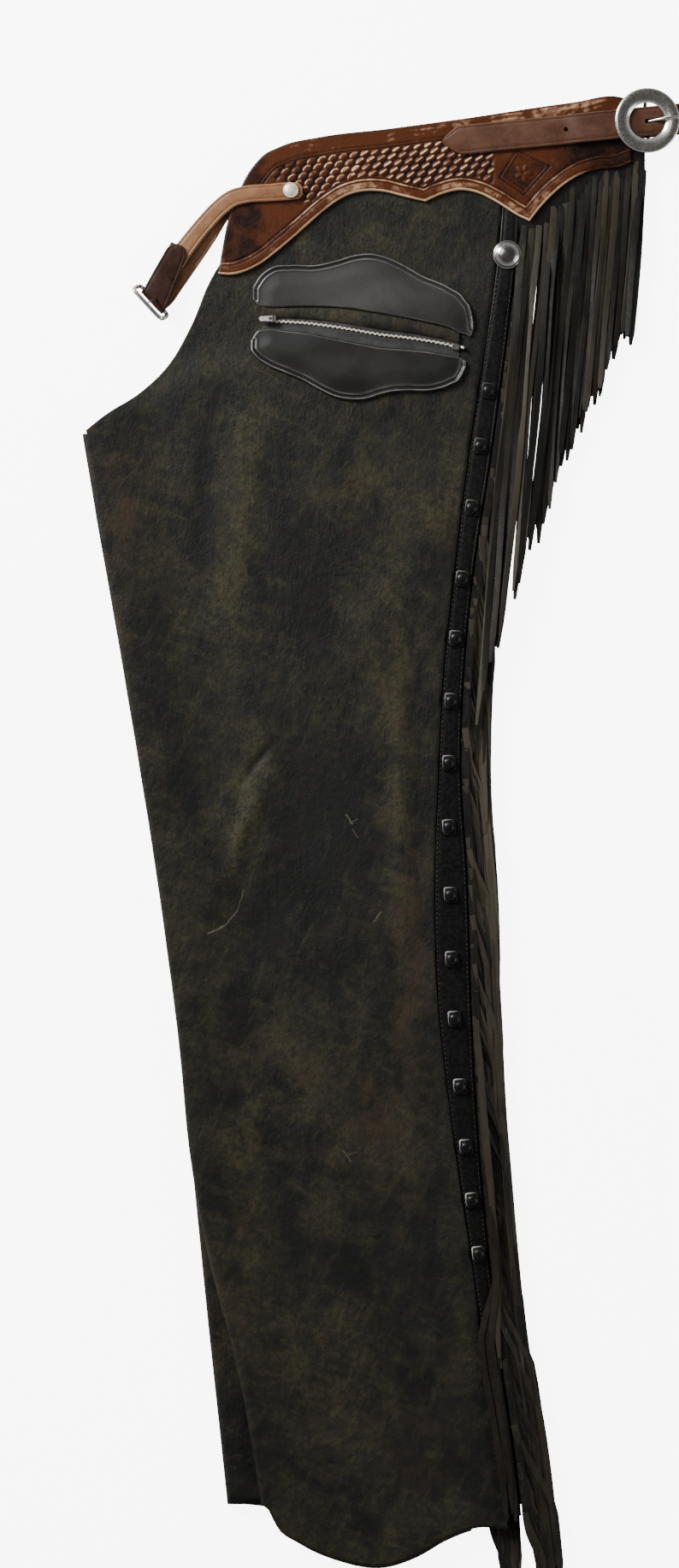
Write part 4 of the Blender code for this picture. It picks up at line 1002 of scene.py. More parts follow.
@made_once("materials", "Polished nickel")
def nickel_finish(name):
    """Polished nickel with fine scratches and a little tarnish."""
    colour = bpy.context.scene.chaps_fittings.nickel
    made, tree, shader, where = begin_material(name)
    tone = mottle(tree, where, 0.012, 9.1)
    face = blend(tree, tone["Patch"], [c * 0.78 for c in colour], colour)
    set_surface(tree, shader, face, tone["Fine"], 0.17, 0.32, metal=1.0)
    fine = noise(tree, where, 900.0, 2.0)
    set_bump(tree, shader, fine, 0.03, METAL_GRAIN_DEPTH)
    return made


@made_once("materials", "Bright nickel")
def bright_nickel_finish(name):
    """The concho's mirror finish."""
    made, tree, shader, where = begin_material(name)
    tone = mottle(tree, where, 0.02, 0.7)
    face = blend(tree, tone["Patch"], (0.30, 0.29, 0.28), (0.40, 0.39, 0.38))
    set_surface(tree, shader, face, tone["Fine"], 0.17, 0.24, metal=1.0)
    set_bump(tree, shader, noise(tree, where, 260.0, 2.0), 0.10, 0.0003)
    return made


@made_once("materials", "Dull zip metal")
def zip_metal_finish(name):
    """The zip teeth's warm, dull metal."""
    made, tree, shader, where = begin_material(name)
    tone = mottle(tree, where, 0.008, 4.4)
    face = blend(tree, tone["Patch"], (0.62, 0.54, 0.42), (0.88, 0.82, 0.70))
    set_surface(tree, shader, face, tone["Fine"], 0.42, 0.6, metal=0.6)
    set_bump(tree, shader, noise(tree, where, 1500.0, 2.0), 0.1, METAL_GRAIN_DEPTH)
    return made


@made_once("materials", "Black snap enamel")
def enamel_finish(name):
    made, tree, shader, where = begin_material(name)
    tone = mottle(tree, where, 0.006, 3.3)
    black = bpy.context.scene.chaps_fittings.black
    face = blend(tree, tone["Fine"], black, [c * 2.2 for c in black])
    set_surface(tree, shader, face, tone["Patch"], 0.30, 0.46, shine=0.2)
    return made


@made_once("materials", "Dark waxed thread")
def thread_finish(name):
    """Dark waxed thread with its twist."""
    made, tree, shader, where = begin_material(name)
    twist = node(
        tree, "ShaderNodeTexWave", {"Vector": where, "Scale": 700.0, "Distortion": 1.0},
        wave_type="BANDS",
    )
    tone = mottle(tree, where, 0.02, 8.8)
    face = blend(tree, tone["Fine"], (0.004, 0.0035, 0.003), (0.014, 0.011, 0.008))
    set_surface(tree, shader, face, tone["Patch"], 0.5, 0.65)
    set_bump(tree, shader, twist.outputs[0], 0.4, METAL_GRAIN_DEPTH)
    return made


@made_once("materials", "Zip tape")
def tape_finish(name):
    made, tree, shader, where = begin_material(name)
    weave = node(tree, "ShaderNodeTexWave", {"Vector": where, "Scale": 900.0}, wave_type="BANDS")
    tone = mottle(tree, where, 0.03, 6.1)
    face = blend(tree, tone["Fine"], (0.006, 0.006, 0.006), (0.016, 0.015, 0.014))
    set_surface(tree, shader, face, tone["Patch"], 0.7, 0.9)
    set_bump(tree, shader, weave.outputs[0], 0.3, METAL_GRAIN_DEPTH)
    return made


# Legs

LEG_DETAIL = {
    "left": {"rows": 290, "top": 60, "front": 70, "back": 22},
    "right": {"rows": 120, "top": 40, "front": 30, "back": 20},
}
NEAR_FOLD = (0.0, 1.5, 3.0, 5.0, 7.5, 10.5, 14.0, 18.0, 23.0, 28.0, 34.0, 41.0, 48.0, 55.0)
FOLD_STEPS = 10


def leg_ends(leg, face, ks):
    """Both ends of each row across a leg's front or back panel."""
    share = np.minimum(ks / LEG_ROWS, 1.0)
    left_y = HEM_Y + share * (TIP[1] - HEM_Y)
    left_x = fold_x(left_y, leg) + FOLD_RADIUS + LEATHER / 2
    if face == "back":
        right_y = HEM_Y + share * (BACK_TOP_OUTER[1] - HEM_Y)
        return left_x, left_y, strip_x(right_y, leg) + FRINGE_LAP, right_y
    right_y = FRONT_HEM_OUTER_Y + share * (FRONT_TIP_ROW_OUTER_Y - FRONT_HEM_OUTER_Y)
    above = ks > LEG_ROWS
    up = (ks[above] - LEG_ROWS) / TOP_ROWS
    places = np.arange(len(CROTCH[1]), dtype=float)
    left_x[above] = curve_through(places, column(CROTCH, "x"), up * places[-1])
    left_y[above] = curve_through(places, column(CROTCH, "y"), up * places[-1])
    right_y[above] = FRONT_TIP_ROW_OUTER_Y + up * (FRONT_TOP_OUTER_Y - FRONT_TIP_ROW_OUTER_Y)
    return left_x, left_y, panel_x(right_y, leg), right_y


def leg_panel(leg, face, ks):
    """A panel's grid of places: a row for each k, closer columns near the fold."""
    left_x, left_y, right_x, right_y = leg_ends(leg, face, ks)
    width = np.hypot(right_x - left_x, right_y - left_y)
    near = np.array(NEAR_FOLD)[None, :] / width[:, None]
    columns = LEG_DETAIL[leg][face]
    wide = near[:, -1:] + (1 - near[:, -1:]) * np.arange(1, columns + 1)[None, :] / columns
    share = np.concatenate([near, wide], axis=1)
    x = left_x[:, None] + share * (right_x - left_x)[:, None]
    y = left_y[:, None] + share * (right_y - left_y)[:, None]
    if face == "front":
        above = (y - HEM_Y) / HEM_DIP_REACH
        dip = HEM_DIP * read(HEM_CURVE, "across", "dip", np.maximum(0.0, share - HEM_LAG[leg]))
        y = y - dip * (1 - smooth_step(above))
    height = {
        ("left", "front"): near_front,
        ("right", "front"): far_front,
        ("left", "back"): near_back,
        ("right", "back"): far_back,
    }[(leg, face)]
    return np.stack([x, y, height(x, y)], axis=2)


def stains_and_crease_light(points):
    """How pale and how brown the hide is at each point: its stains, with painted highlight on crease ridges
    and painted shade in troughs.
    """
    x, y = points[:, 0], points[:, 1]
    x = x + 7.0 * np.sin(y / 13.0) + 4.0 * np.sin(y / 5.3 + x / 9.0)
    y = y + 8.0 * np.sin(points[:, 0] / 11.0) + 5.0 * np.sin(points[:, 0] / 4.7 + points[:, 1] / 17.0)
    pale, brown = np.zeros(len(points)), np.zeros(len(points))
    for place_x, place_y, wide, long, light, warm in STAINS[1]:
        near = np.exp(-(((x - place_x) / wide) ** 2) - ((y - place_y) / long) ** 2)
        pale += near * light
        brown += near * warm
    # Painted highlight on the crease ridges and painted shade in the crease troughs
    ridges = crease_sum(points[:, 0], points[:, 1])
    pale += 0.30 * np.clip(ridges, 0.0, 1.6) + 0.9 * np.clip(ridges, -0.8, 0.0)
    return pale, brown


def make_hide(leg):
    """One hide: front panel, inseam fold and back panel, with its creases."""
    low = np.linspace(0.0, LEG_ROWS, LEG_DETAIL[leg]["rows"])
    high = np.linspace(LEG_ROWS, LEG_ROWS + TOP_ROWS, LEG_DETAIL[leg]["top"])[1:]
    front = leg_panel(leg, "front", np.concatenate([low, high]))
    back = leg_panel(leg, "back", low)
    rows, columns = front.shape[:2]
    back_first = rows * columns
    faces = grid_faces(rows, columns) + grid_faces(len(low), back.shape[1], back_first)
    points = np.concatenate([front.reshape(-1, 3), back.reshape(-1, 3)]).tolist()
    folds = []
    for k in range(len(low)):
        one, other = front[k, 0], back[k, 0]
        middle, radius = (one[2] + other[2]) / 2, (one[2] - other[2]) / 2
        ring = [k * columns]
        for step in range(1, FOLD_STEPS):
            turn = math.pi * step / FOLD_STEPS
            ring.append(len(points))
            points.append((one[0] - abs(radius) * math.sin(turn), one[1], middle + radius * math.cos(turn)))
        folds.append(ring + [back_first + k * back.shape[1]])
    for low_ring, high_ring in zip(folds[:-1], folds[1:]):
        for c in range(FOLD_STEPS):
            faces.append((low_ring[c], low_ring[c + 1], high_ring[c + 1], high_ring[c]))
    piece = put(f"{leg}_leg_hide", points, faces, hide_finish(), "leg_leather", [f"{leg}_leg"])
    pale, brown = stains_and_crease_light(np.array(points))
    # Stains, with painted highlight and painted shade along the creases
    paint(piece, "pale", pale)
    paint(piece, "brown", brown)
    wall = piece.modifiers.new("Leather thickness", "SOLIDIFY")
    wall.thickness = LEATHER * MM
    wall.offset = 0.0
    wall.use_even_offset = True
    return piece


class CHAPS_OT_legs(Operator):
    """Makes both legs' hides, folded at the inseam"""

    bl_idname = "chaps.legs"
    bl_label = "Leg hides"

    def execute(self, context):
        for leg, rests_on in (("left", "right_leg"), ("right", "floor")):
            piece = make_hide(leg)
            sheet_of((640.0, 1010.0))
        return {"FINISHED"}


# Yokes

YOKE_STEP = 0.75
YOKE_ROWS = 88
BASKET_LEFT, BASKET_RIGHT = -86.0, 76.0
BASKET_CORNER = (-82.0, 455.0, 20.0)
STAMP_LAY = math.radians(8.0)
STAMP_LEAN = math.radians(27.0)
DIAMOND = ((79.4, 477.5), (97.3, 465.0), (115.9, 485.5), (91.8, 497.0))
FLOWER_AT = (96.5, 481.0)
PETALS = 5
BORDER_INNER = 9.0
BAND_INNER = 11.0

# Where the yoke's shades change along x: the start of each change and its reach
WORN_BORDER_FROM, WORN_BORDER_TO = (-84.0, 30.0), (128.0, 30.0)
# The painted shadow of the belt starts here on the field and on the border
BELT_SHADOW_FIELD_FROM, BELT_SHADOW_BORDER_FROM = (106.0, 50.0), (124.0, 38.0)
PALE_EDGE_TO = (120.0, 40.0)
BAND_FROM, RUBBED_FROM, RUBBED_TO = (-92.0, 30.0), (10.0, 90.0), (150.0, 12.0)
LOBE_TO = (86.0, 14.0)


def cornered(table, at, corners):
    """A table's curve that is smooth but for sharp corners at some of its keys."""
    keys, values = column(table, "x"), column(table, "y")
    result = np.zeros(len(at))
    ends = [keys[0], *corners, keys[-1]]
    for low, high in zip(ends[:-1], ends[1:]):
        inside = (keys >= low - 0.01) & (keys <= high + 0.01)
        here = (at >= low) & (at <= high)
        result[here] = curve_through(keys[inside], values[inside], at[here])
    return result


def basket(x, y, long, wide):
    """The basket stamp: slanting pillows in staggered rows, each with a painted highlight."""
    u = x * math.cos(STAMP_LAY) + y * math.sin(STAMP_LAY)
    v = -x * math.sin(STAMP_LAY) + y * math.cos(STAMP_LAY)
    row = np.floor(v / wide)
    u = u + (row % 2) * long / 2
    p = (u / long - np.floor(u / long) - 0.5) * long
    q = (v / wide - row - 0.5) * wide
    along = p * math.cos(STAMP_LEAN) + q * math.sin(STAMP_LEAN)
    across = -p * math.sin(STAMP_LEAN) + q * math.cos(STAMP_LEAN)
    away = np.sqrt((along / (long * 0.46)) ** 2 + (across / (wide * 0.44)) ** 2)
    # worn is a random number for each stamp, which sets how strong its painted highlight is
    worn = np.sin(row * 12.9898 + np.floor(u / long) * 78.233) * 43758.5453
    worn = worn - np.floor(worn)
    # Painted highlights: a slash across each stamp on the right, a rim lit on one side on the left
    slash = groove(across, 0.1 * wide, wide * 0.12) * smooth_step((0.44 * long - np.abs(along)) / 0.7)
    ring = groove(away, 0.86, 0.15) * np.clip(0.35 + across / (wide * 0.4), 0.0, 1.0)
    turn = ramp(x, -52.0, 60.0)
    lit = (ring * (1 - turn) + slash * turn) * (0.45 + 0.8 * worn)
    gap = ramp(away, 0.95, 0.2)
    return np.sqrt(np.clip(1 - away**2, 0.0, 1.0)), lit, gap


def yoke_relief(x, y, low_line, top_line):
    """How high the stamping stands, from -1 to 1, and how rubbed or dark it is, from 0 to 1, with painted
    highlights and a painted belt shadow.
    """
    look = bpy.context.scene.chaps_yokes
    from_low = outline_distance(x, y, low_line)
    from_top = outline_distance(x, y, top_line)
    past_border = from_low > BORDER_INNER
    lines = groove(from_low, 1.6, 0.35) * 0.4 + groove(from_low, 6.6, 0.5)
    lines = lines + groove(from_low, BORDER_INNER, 0.5)
    beside_band = past_border * ramp(y, 468.0, 8.0)
    lines = lines + (groove(from_top, 11.2, 0.45) * 0.8 + groove(from_top, 13.4, 0.5)) * beside_band
    field = ramp(from_low, 9.6, 0.8) * ramp(from_top, 14.0, 0.8)
    field = field * ramp(x, BASKET_LEFT, 1.5) * ramp(-x, -BASKET_RIGHT, 1.5)
    beside_snap = np.hypot(x - BASKET_CORNER[0], y - BASKET_CORNER[1]) - BASKET_CORNER[2]
    field = field * smooth_step(beside_snap / 1.0)
    pillow, lit, gap = basket(x, y, look.stamp_long / MM, look.stamp_wide / MM)
    ring = list(DIAMOND) + [DIAMOND[0]]
    from_diamond = outline_distance(x, y, ring)
    inside = np.ones(np.shape(x), bool)
    for (x0, y0), (x1, y1) in zip(ring[:-1], ring[1:]):
        inside &= (x1 - x0) * (y - y0) - (y1 - y0) * (x - x0) > 0
    frame_line = groove(from_diamond, 0.0, 0.5) + groove(from_diamond, 2.4, 0.45) * inside
    turn = np.arctan2(y - FLOWER_AT[1], x - FLOWER_AT[0])
    reach = np.hypot(x - FLOWER_AT[0], y - FLOWER_AT[1])
    petal = 4.6 + 1.9 * np.cos(PETALS * turn + 0.5)
    flower = smooth_step((petal - reach) / 0.8) * ramp(reach, 1.3, 0.5)
    veins = groove(np.sin(PETALS * turn / 2 + 0.25 + math.pi / 2), 0.0, 0.22)
    veins = veins * (reach > 1.6) * (reach < petal)
    inner = inside & (from_diamond > 3.0)
    keep = 1 - inside * 1.0
    height = -lines * 0.75 - frame_line * 0.8 + field * keep * (pillow * 1.15 - 0.75)
    height = height + inner * (flower * 0.9 - veins * 0.5 - 0.45)
    tone = 0.52 - 0.42 * np.clip(lines, 0, 1) - 0.4 * np.clip(frame_line, 0, 1)
    # lit adds the stamps' painted highlights
    tone = tone + field * keep * (0.80 * lit - 0.30 * gap + 0.10 * pillow - 0.08)
    tone = tone + inner * (0.25 * flower - 0.2 * veins - 0.16)
    border = (from_low > 1.0) * (from_low < BORDER_INNER)
    worn = ramp(x, *WORN_BORDER_FROM) * (1 - ramp(x, *WORN_BORDER_TO))
    tone = tone + border * (0.06 + 0.16 * worn + 0.18 * groove(from_low, 7.8, 0.6))
    # Painted shadow of the belt, darkening the field and the border towards the right end
    tone = tone - 0.44 * ramp(x, *BELT_SHADOW_FIELD_FROM) * (from_low > 9.5) * (from_top > 10.0)
    tone = tone - 0.40 * ramp(x, *BELT_SHADOW_BORDER_FROM) * border
    tone = tone + 0.75 * (1 - ramp(from_low, 0.6, 1.0)) * (1 - ramp(x, *PALE_EDGE_TO))
    streak = np.sin(1.7 * from_top + 2.4 * np.sin(x / 19.0) + 1.1 * np.sin(x / 6.0))
    streak = streak * (0.6 + 0.4 * np.sin(x / 11.0))
    band = (from_top < BAND_INNER) * past_border * ramp(x, *BAND_FROM)
    rubbed = ramp(x, *RUBBED_FROM) * (1 - ramp(x, *RUBBED_TO))
    tone = tone + band * (0.04 + 0.20 * rubbed + 0.07 * streak)
    tone = tone - 0.45 * (1 - ramp(from_top, 0.5, 0.9)) * past_border
    tone = tone - 0.30 * ramp(-x, *LOBE_TO) * past_border
    return height, np.clip(tone, 0.0, 1.15)


def make_yoke(side, base, stamped):
    """A yoke with rounded edges. Its upper face carries the stamping."""
    look = bpy.context.scene.chaps_yokes
    low_x, high_x = YOKE_LOW[1][0][0] + 0.1, YOKE_LOW[1][-1][0]
    count = int((high_x - low_x) / YOKE_STEP) if stamped else 160
    x = np.linspace(low_x, high_x, count)
    x = np.sort(np.concatenate([x, low_x + np.array([0.15, 0.3, 0.45]), YOKE_CORNERS]))
    low = cornered(YOKE_LOW, x, YOKE_CORNERS)
    top = np.maximum(curve_through(column(YOKE_TOP, "x"), column(YOKE_TOP, "y"), x), low + 0.6)
    rows = YOKE_ROWS if stamped else 20
    share = np.concatenate([[0.0], np.linspace(0.0, 1.0, rows), [1.0]])
    y = low[:, None] + (top - low)[:, None] * share[None, :]
    wide_x = np.repeat(x[:, None], len(share), axis=1)
    low_line = list(zip(x[::3], low[::3])) + [(x[-1], low[-1])]
    top_line = list(zip(x[::3], top[::3])) + [(x[-1], top[-1])]
    edge = np.minimum(outline_distance(wide_x, y, low_line), outline_distance(wide_x, y, top_line))
    edge = np.minimum(edge, high_x - wide_x)
    round_off = 0.8 * (1 - smooth_step(edge / 1.1))
    z = np.full(y.shape, base + YOKE_THICKNESS) - round_off
    tone = np.full(y.shape, 0.5)
    if stamped:
        height, tone = yoke_relief(wide_x, y, low_line, top_line)
        z = z + (height * look.depth / MM) * smooth_step((edge - 0.5) / 1.0)
    z[:, 0] = z[:, -1] = base
    tone[:, 0] = tone[:, -1] = 1.0
    rings = np.stack([wide_x, y, z], axis=2)
    points, faces = loft([[tuple(p) for p in ring] for ring in rings])
    piece = put(
        f"{side}_yoke_leather", points, faces, saddle_finish(), "yoke_leather", [f"{side}_yoke"],
        sharp=60,
    )
    paint(piece, "stamping_tone_and_painted_light", tone)
    return piece


class CHAPS_OT_yokes(Operator):
    """Makes the stamped left yoke and the right one under it"""

    bl_idname = "chaps.yokes"
    bl_label = "Yokes"

    def execute(self, context):
        near = make_yoke("left", NEAR_YOKE_BASE, True)
        far = make_yoke("right", 0.0, False)
        for piece, rests_on in ((near, "left_leg"), (far, "floor")):
            sheet_of((300.0, 110.0))
        return {"FINISHED"}


# Sewing

STITCH = 2.3
STITCH_GAP = 1.1
THREAD = 0.28
THREAD_LIFT = 0.12


def stitches(path):
    """Points and faces of a row of stitches along a path."""
    path = np.asarray(path, float)
    reach = np.concatenate([[0.0], np.cumsum(np.linalg.norm(np.diff(path, axis=0), axis=1))])
    parts = []
    at = STITCH_GAP
    while at + STITCH < reach[-1]:
        places = at + STITCH * np.array((0.0, 0.2, 0.5, 0.8, 1.0))
        middles = np.stack([np.interp(places, reach, path[:, i]) for i in range(3)], axis=1)
        middles[:, 2] += THREAD_LIFT + np.array((-0.4, 0.0, 0.06, 0.0, -0.4))
        way = middles[-1] - middles[0]
        side = np.array((-way[1], way[0], 0.0)) / np.hypot(way[0], way[1])
        rings = []
        for middle, share in zip(middles, (0.6, 1.0, 1.0, 1.0, 0.6)):
            reach_out = THREAD * share
            rings.append([
                tuple(middle - side * reach_out), tuple(middle + (0, 0, reach_out * 0.8)),
                tuple(middle + side * reach_out), tuple(middle - (0, 0, reach_out * 0.8)),
            ])
        parts.append(loft(rings))
        at += STITCH + STITCH_GAP
    return merge(parts)


def put_stitches(name, paths, slot):
    points, faces = merge([stitches(path) for path in paths])
    return put(name, points, faces, thread_finish(), slot)


# Closure at the outseam

STRIP_HEM_Y = -493.0
STRIP_TOP_Y = 468.0
STRIP_SEAM = 0.45
FLANGE_Y = (397.0, 467.0)
FLANGE_LEVEL = 4.7
FLANGE_LAP = 2.2
STRIP_THICKNESS = 1.6
STRIP_SINK = 0.4
STRIP_TOP_RISE = 0.8
STRIP_RISE_FROM = (354.9, 45.0)
STRIP_DROP_FROM = (437.0, 12.0)
SNAP_ROWS = (
    323.0, 282.9, 238.1, 186.6, 143.4, 98.0, 53.0, 6.5, -42.6, -89.1, -132.5, -181.5, -225.5, -264.1, -303.0,
)
SNAP_INSET = 0.4
TAB = (9.6, 11.5, 1.3)
SNAP_RADIUS = 4.4
CONCHO_AT = (85.0, 421.6)
CONCHO_RADIUS = 10.4


def strip_level(leg):
    height = STRIP_THICKNESS / 2
    if leg == "left":
        height += FAR_FRONT + 2 * PLY + LEATHER / 2 + LEG_GAP - STRIP_SINK
    return height


def make_closure_strip(leg):
    rows = np.linspace(STRIP_HEM_Y, STRIP_TOP_Y, 120)
    inner, outer = panel_x(rows, leg) + STRIP_SEAM, strip_x(rows, leg)
    level = np.full(len(rows), strip_level(leg))
    if leg == "left":
        level = level + STRIP_TOP_RISE * ramp(rows, *STRIP_RISE_FROM) - 2.9 * ramp(rows, *STRIP_DROP_FROM)
    path = np.stack([(inner + outer) / 2, rows, level], axis=1)
    parts = [strap(path, outer - inner, STRIP_THICKNESS, [(-1.0, 0.0, 0.0)] * len(rows))]
    if leg == "left":
        high = np.linspace(*FLANGE_Y, 16)
        middle = (panel_x(high) + strip_x(high)) / 2
        path = np.stack([middle, high, np.full(len(high), FLANGE_LEVEL)], axis=1)
        width = strip_x(high) - panel_x(high) + 2 * FLANGE_LAP
        parts.append(strap(path, width, 0.28, [(-1.0, 0.0, 0.0)] * len(high)))
    points, faces = merge([part[:2] for part in parts])
    piece = put(f"{leg}_closure_leather", points, faces, closure_finish(), "closure_leather",
                [f"{leg}_closure_strip"], sharp=50)
    paint(piece, "cut", [value for part in parts for value in part[2]])
    return piece


# How much painted glint each ring of a tab takes, from its foot to its top
TAB_GLINT = (0.0, 0.0, 0.4, 1.0, 0.7, 0.0)


def rounded_tab(size, corner, place, turn):
    """A small leather square with rounded corners and edges, and a painted glint on its upper-left edges."""
    wide, long, thick = size
    rings = []
    side = ((0.25, 0.0), (0.0, 0.25), (0.0, thick - 0.45))
    face = ((0.2, thick - 0.1), (0.6, thick), (1.4, thick - 0.12))
    for inset, z in side + face:
        ring = []
        reach = corner - min(inset, corner * 0.8)
        past = max(0.0, inset - corner * 0.8)
        for quarter, (sx, sy) in enumerate(((1, 1), (-1, 1), (-1, -1), (1, -1))):
            for step in range(4):
                angle = math.radians(quarter * 90 + step * 30)
                across = sx * (wide / 2 - corner) + reach * math.cos(angle) - sx * past
                along = sy * (long / 2 - corner) + reach * math.sin(angle) - sy * past
                ring.append((across, along, z))
        rings.append(ring)
    points, faces = loft(rings)
    matrix = Matrix.Translation(place) @ Matrix.Rotation(turn, 4, "Z")
    # Painted glint only on the upper-left edges, where the light falls
    lit = [(3.2 * y / long - 2.0 * x / wide) > 1.1 for x, y, _ in rings[1]]
    cut = [ring_glint * shine for ring_glint in TAB_GLINT for shine in lit]
    return [tuple(matrix @ Vector(p)) for p in points], faces, cut


SNAP_PROFILE = (
    (0.0, 1.0), (0.22, 0.985), (0.42, 0.93), (0.58, 0.84), (0.70, 0.70), (0.78, 0.56), (0.83, 0.55),
    (0.90, 0.58), (0.96, 0.48), (1.0, 0.28), (0.98, 0.0), (0.0, 0.0),
)
CONCHO_PROFILE = (
    (0.0, 4.4), (0.15, 4.36), (0.3, 4.2), (0.45, 3.9), (0.58, 3.42), (0.68, 2.86), (0.76, 2.2),
    (0.81, 1.72), (0.86, 1.5), (0.92, 1.46), (0.97, 1.2), (1.0, 0.7), (0.99, 0.0), (0.0, 0.0),
)


class CHAPS_OT_closure(Operator):
    """Makes the closure strips, snap tabs, snap caps and concho"""

    bl_idname = "chaps.closure"
    bl_label = "Outseam closure"

    def execute(self, context):
        for leg, rests_on in (("left", "left_leg"), ("right", "floor")):
            piece = make_closure_strip(leg)
            sheet_of((15.0, 940.0))
        top = strip_level("left") + STRIP_THICKNESS / 2
        # The tabs' pale edge colour is a painted glint
        tab_leather = strap_finish(
            "Tab leather with painted glints", (0.0034, 0.0026, 0.0021), 0.02, 5.9, 0.12, (0.62, 0.60, 0.56),
        )
        for i, y in enumerate(SNAP_ROWS):
            x = float(panel_x(y) + strip_x(y)) / 2 - SNAP_INSET
            lean = -math.atan2(float(strip_x(y + 20) - strip_x(y - 20)), 40.0)
            points, faces, cut = rounded_tab(TAB, 1.6, (x, y, top + SEAM), lean)
            tab = put(f"snap_tab_{i + 1:02d}", points, faces, tab_leather, "closure_leather",
                      [f"closure_tab_{i + 1:02d}"], sharp=50)
            # Painted glints, stronger on the tabs nearer the hem
            paint(tab, "cut", np.array(cut) * (0.1 + 0.9 * i / len(SNAP_ROWS)))
            profile = rounded_profile([(r * SNAP_RADIUS, z * 2.4) for r, z in SNAP_PROFILE])
            points, faces = turned(profile, 28, (x, y, top + 2 * SEAM + TAB[2]))
            put(f"snap_cap_{i + 1:02d}", points, faces, enamel_finish(), "black_snap",
                [f"closure_snap_{i + 1:02d}"], sharp=40)
        rows = np.linspace(STRIP_HEM_Y + 6.0, 405.0, 260)
        level = top + STRIP_TOP_RISE * ramp(rows, *STRIP_RISE_FROM)
        sides = [panel_x(rows) + STRIP_SEAM + 1.5, strip_x(rows) - 1.5]
        put_stitches(
            "closure_stitches", [np.stack([x, rows, level], axis=1) for x in sides],
            "closure_leather",
        )
        profile = rounded_profile([(r * CONCHO_RADIUS, z) for r, z in CONCHO_PROFILE])
        place = (*CONCHO_AT, top + STRIP_TOP_RISE + SEAM)
        put(
            "concho_dome", *turned(profile, 64, place), bright_nickel_finish(), "nickel",
            ["concho"], sharp=40,
        )
        return {"FINISHED"}


# Pocket

ZIP_X = (-93.0, 50.0)
POCKET_THICKNESS = 1.6
# Each pocket piece's material name and how much lighter it is painted, as a painted sheen
POCKET_SHEEN = {"top": ("Charcoal leather with painted sheen", 2.2), "bottom": ("Charcoal leather", 0.85)}
ROLL_SHARE = 0.46
TEETH_SHARE = 0.62


def pocket_base(x, y):
    return near_front(x, y) + LEATHER / 2 + POCKET_CLEARANCE


def patch_grid(xs, tops, lows, rows):
    share = (1 - np.cos(np.linspace(0.0, math.pi, rows))) / 2
    x = np.repeat(xs[:, None], rows, axis=1)
    return x, lows[:, None] + (tops - lows)[:, None] * share[None, :], share


def make_patch(name, table, rolled, replaces):
    """A pocket piece: smooth face, a groove round it and a raised edge that catches the light."""
    look = bpy.context.scene.chaps_pocket
    keys = column(table, "x")
    xs = np.linspace(keys[0], keys[-1], 240)
    tops = curve_through(keys, column(table, "top"), xs)
    lows = curve_through(keys, column(table, "bottom"), xs)
    x, y, _ = patch_grid(xs, tops, lows, 64)
    top_line, low_line = list(zip(xs, tops)), list(zip(xs, lows))
    if rolled == "top":
        top_line = [low_line[0], *top_line, low_line[-1]]
    else:
        low_line = [top_line[0], *low_line, top_line[-1]]
    from_top = outline_distance(x, y, top_line)
    from_low = outline_distance(x, y, low_line)
    outer, inner = (from_top, from_low) if rolled == "top" else (from_low, from_top)
    bead = look.bead / MM
    rise = bead * groove(outer, 1.0, 0.6) - 0.8 * groove(outer, 2.8, 0.8) + 0.25 * groove(outer, 4.4, 0.6)
    rise = rise * smooth_step((inner + 1.0) / 2.0) - 0.35 * (1 - smooth_step(inner / 1.0))
    edge = np.minimum(outer, inner)
    base = pocket_base(x, y)
    z = base + POCKET_THICKNESS + rise
    z = z - 0.7 * (1 - smooth_step(edge / 0.8)) + 0.9 * ramp(outer, 4.0, 12.0)
    # Paler lines along the raised edges: partly rubbed, partly a painted highlight
    rubbed = groove(outer, 0.9, 0.35) * 0.8 + groove(outer, 4.2, 0.3) * 0.35 + groove(inner, 0.5, 0.4) * 0.3
    rings = []
    for c in range(len(xs)):
        ring = [(x[c, 0], y[c, 0], base[c, 0])]
        ring += [tuple(p) for p in np.stack([x[c], y[c], z[c]], axis=1)]
        ring.append((x[c, -1], y[c, -1], base[c, -1]))
        rings.append(ring)
    points, faces = loft(rings)
    finish = pocket_finish(*POCKET_SHEEN[rolled])
    piece = put(name, points, faces, finish, "pocket_leather", replaces, sharp=60)
    paint(piece, "rubbed", np.pad(rubbed, ((0, 0), (1, 1))))
    # Painted sheen, brightest in the middle of the piece
    away = ((x - x.mean()) / (0.36 * np.ptp(x))) ** 2 + ((y - y.mean()) / (0.36 * np.ptp(y))) ** 2
    paint(piece, "painted_sheen", np.pad(np.exp(-away), ((0, 0), (1, 1)), mode="edge"))
    return piece


def zip_edges(xs):
    upper = np.interp(xs, column(POCKET_UPPER, "x"), column(POCKET_UPPER, "bottom")) - 0.5
    lower = np.interp(xs, column(POCKET_LOWER, "x"), column(POCKET_LOWER, "top")) + 0.5
    return upper, lower


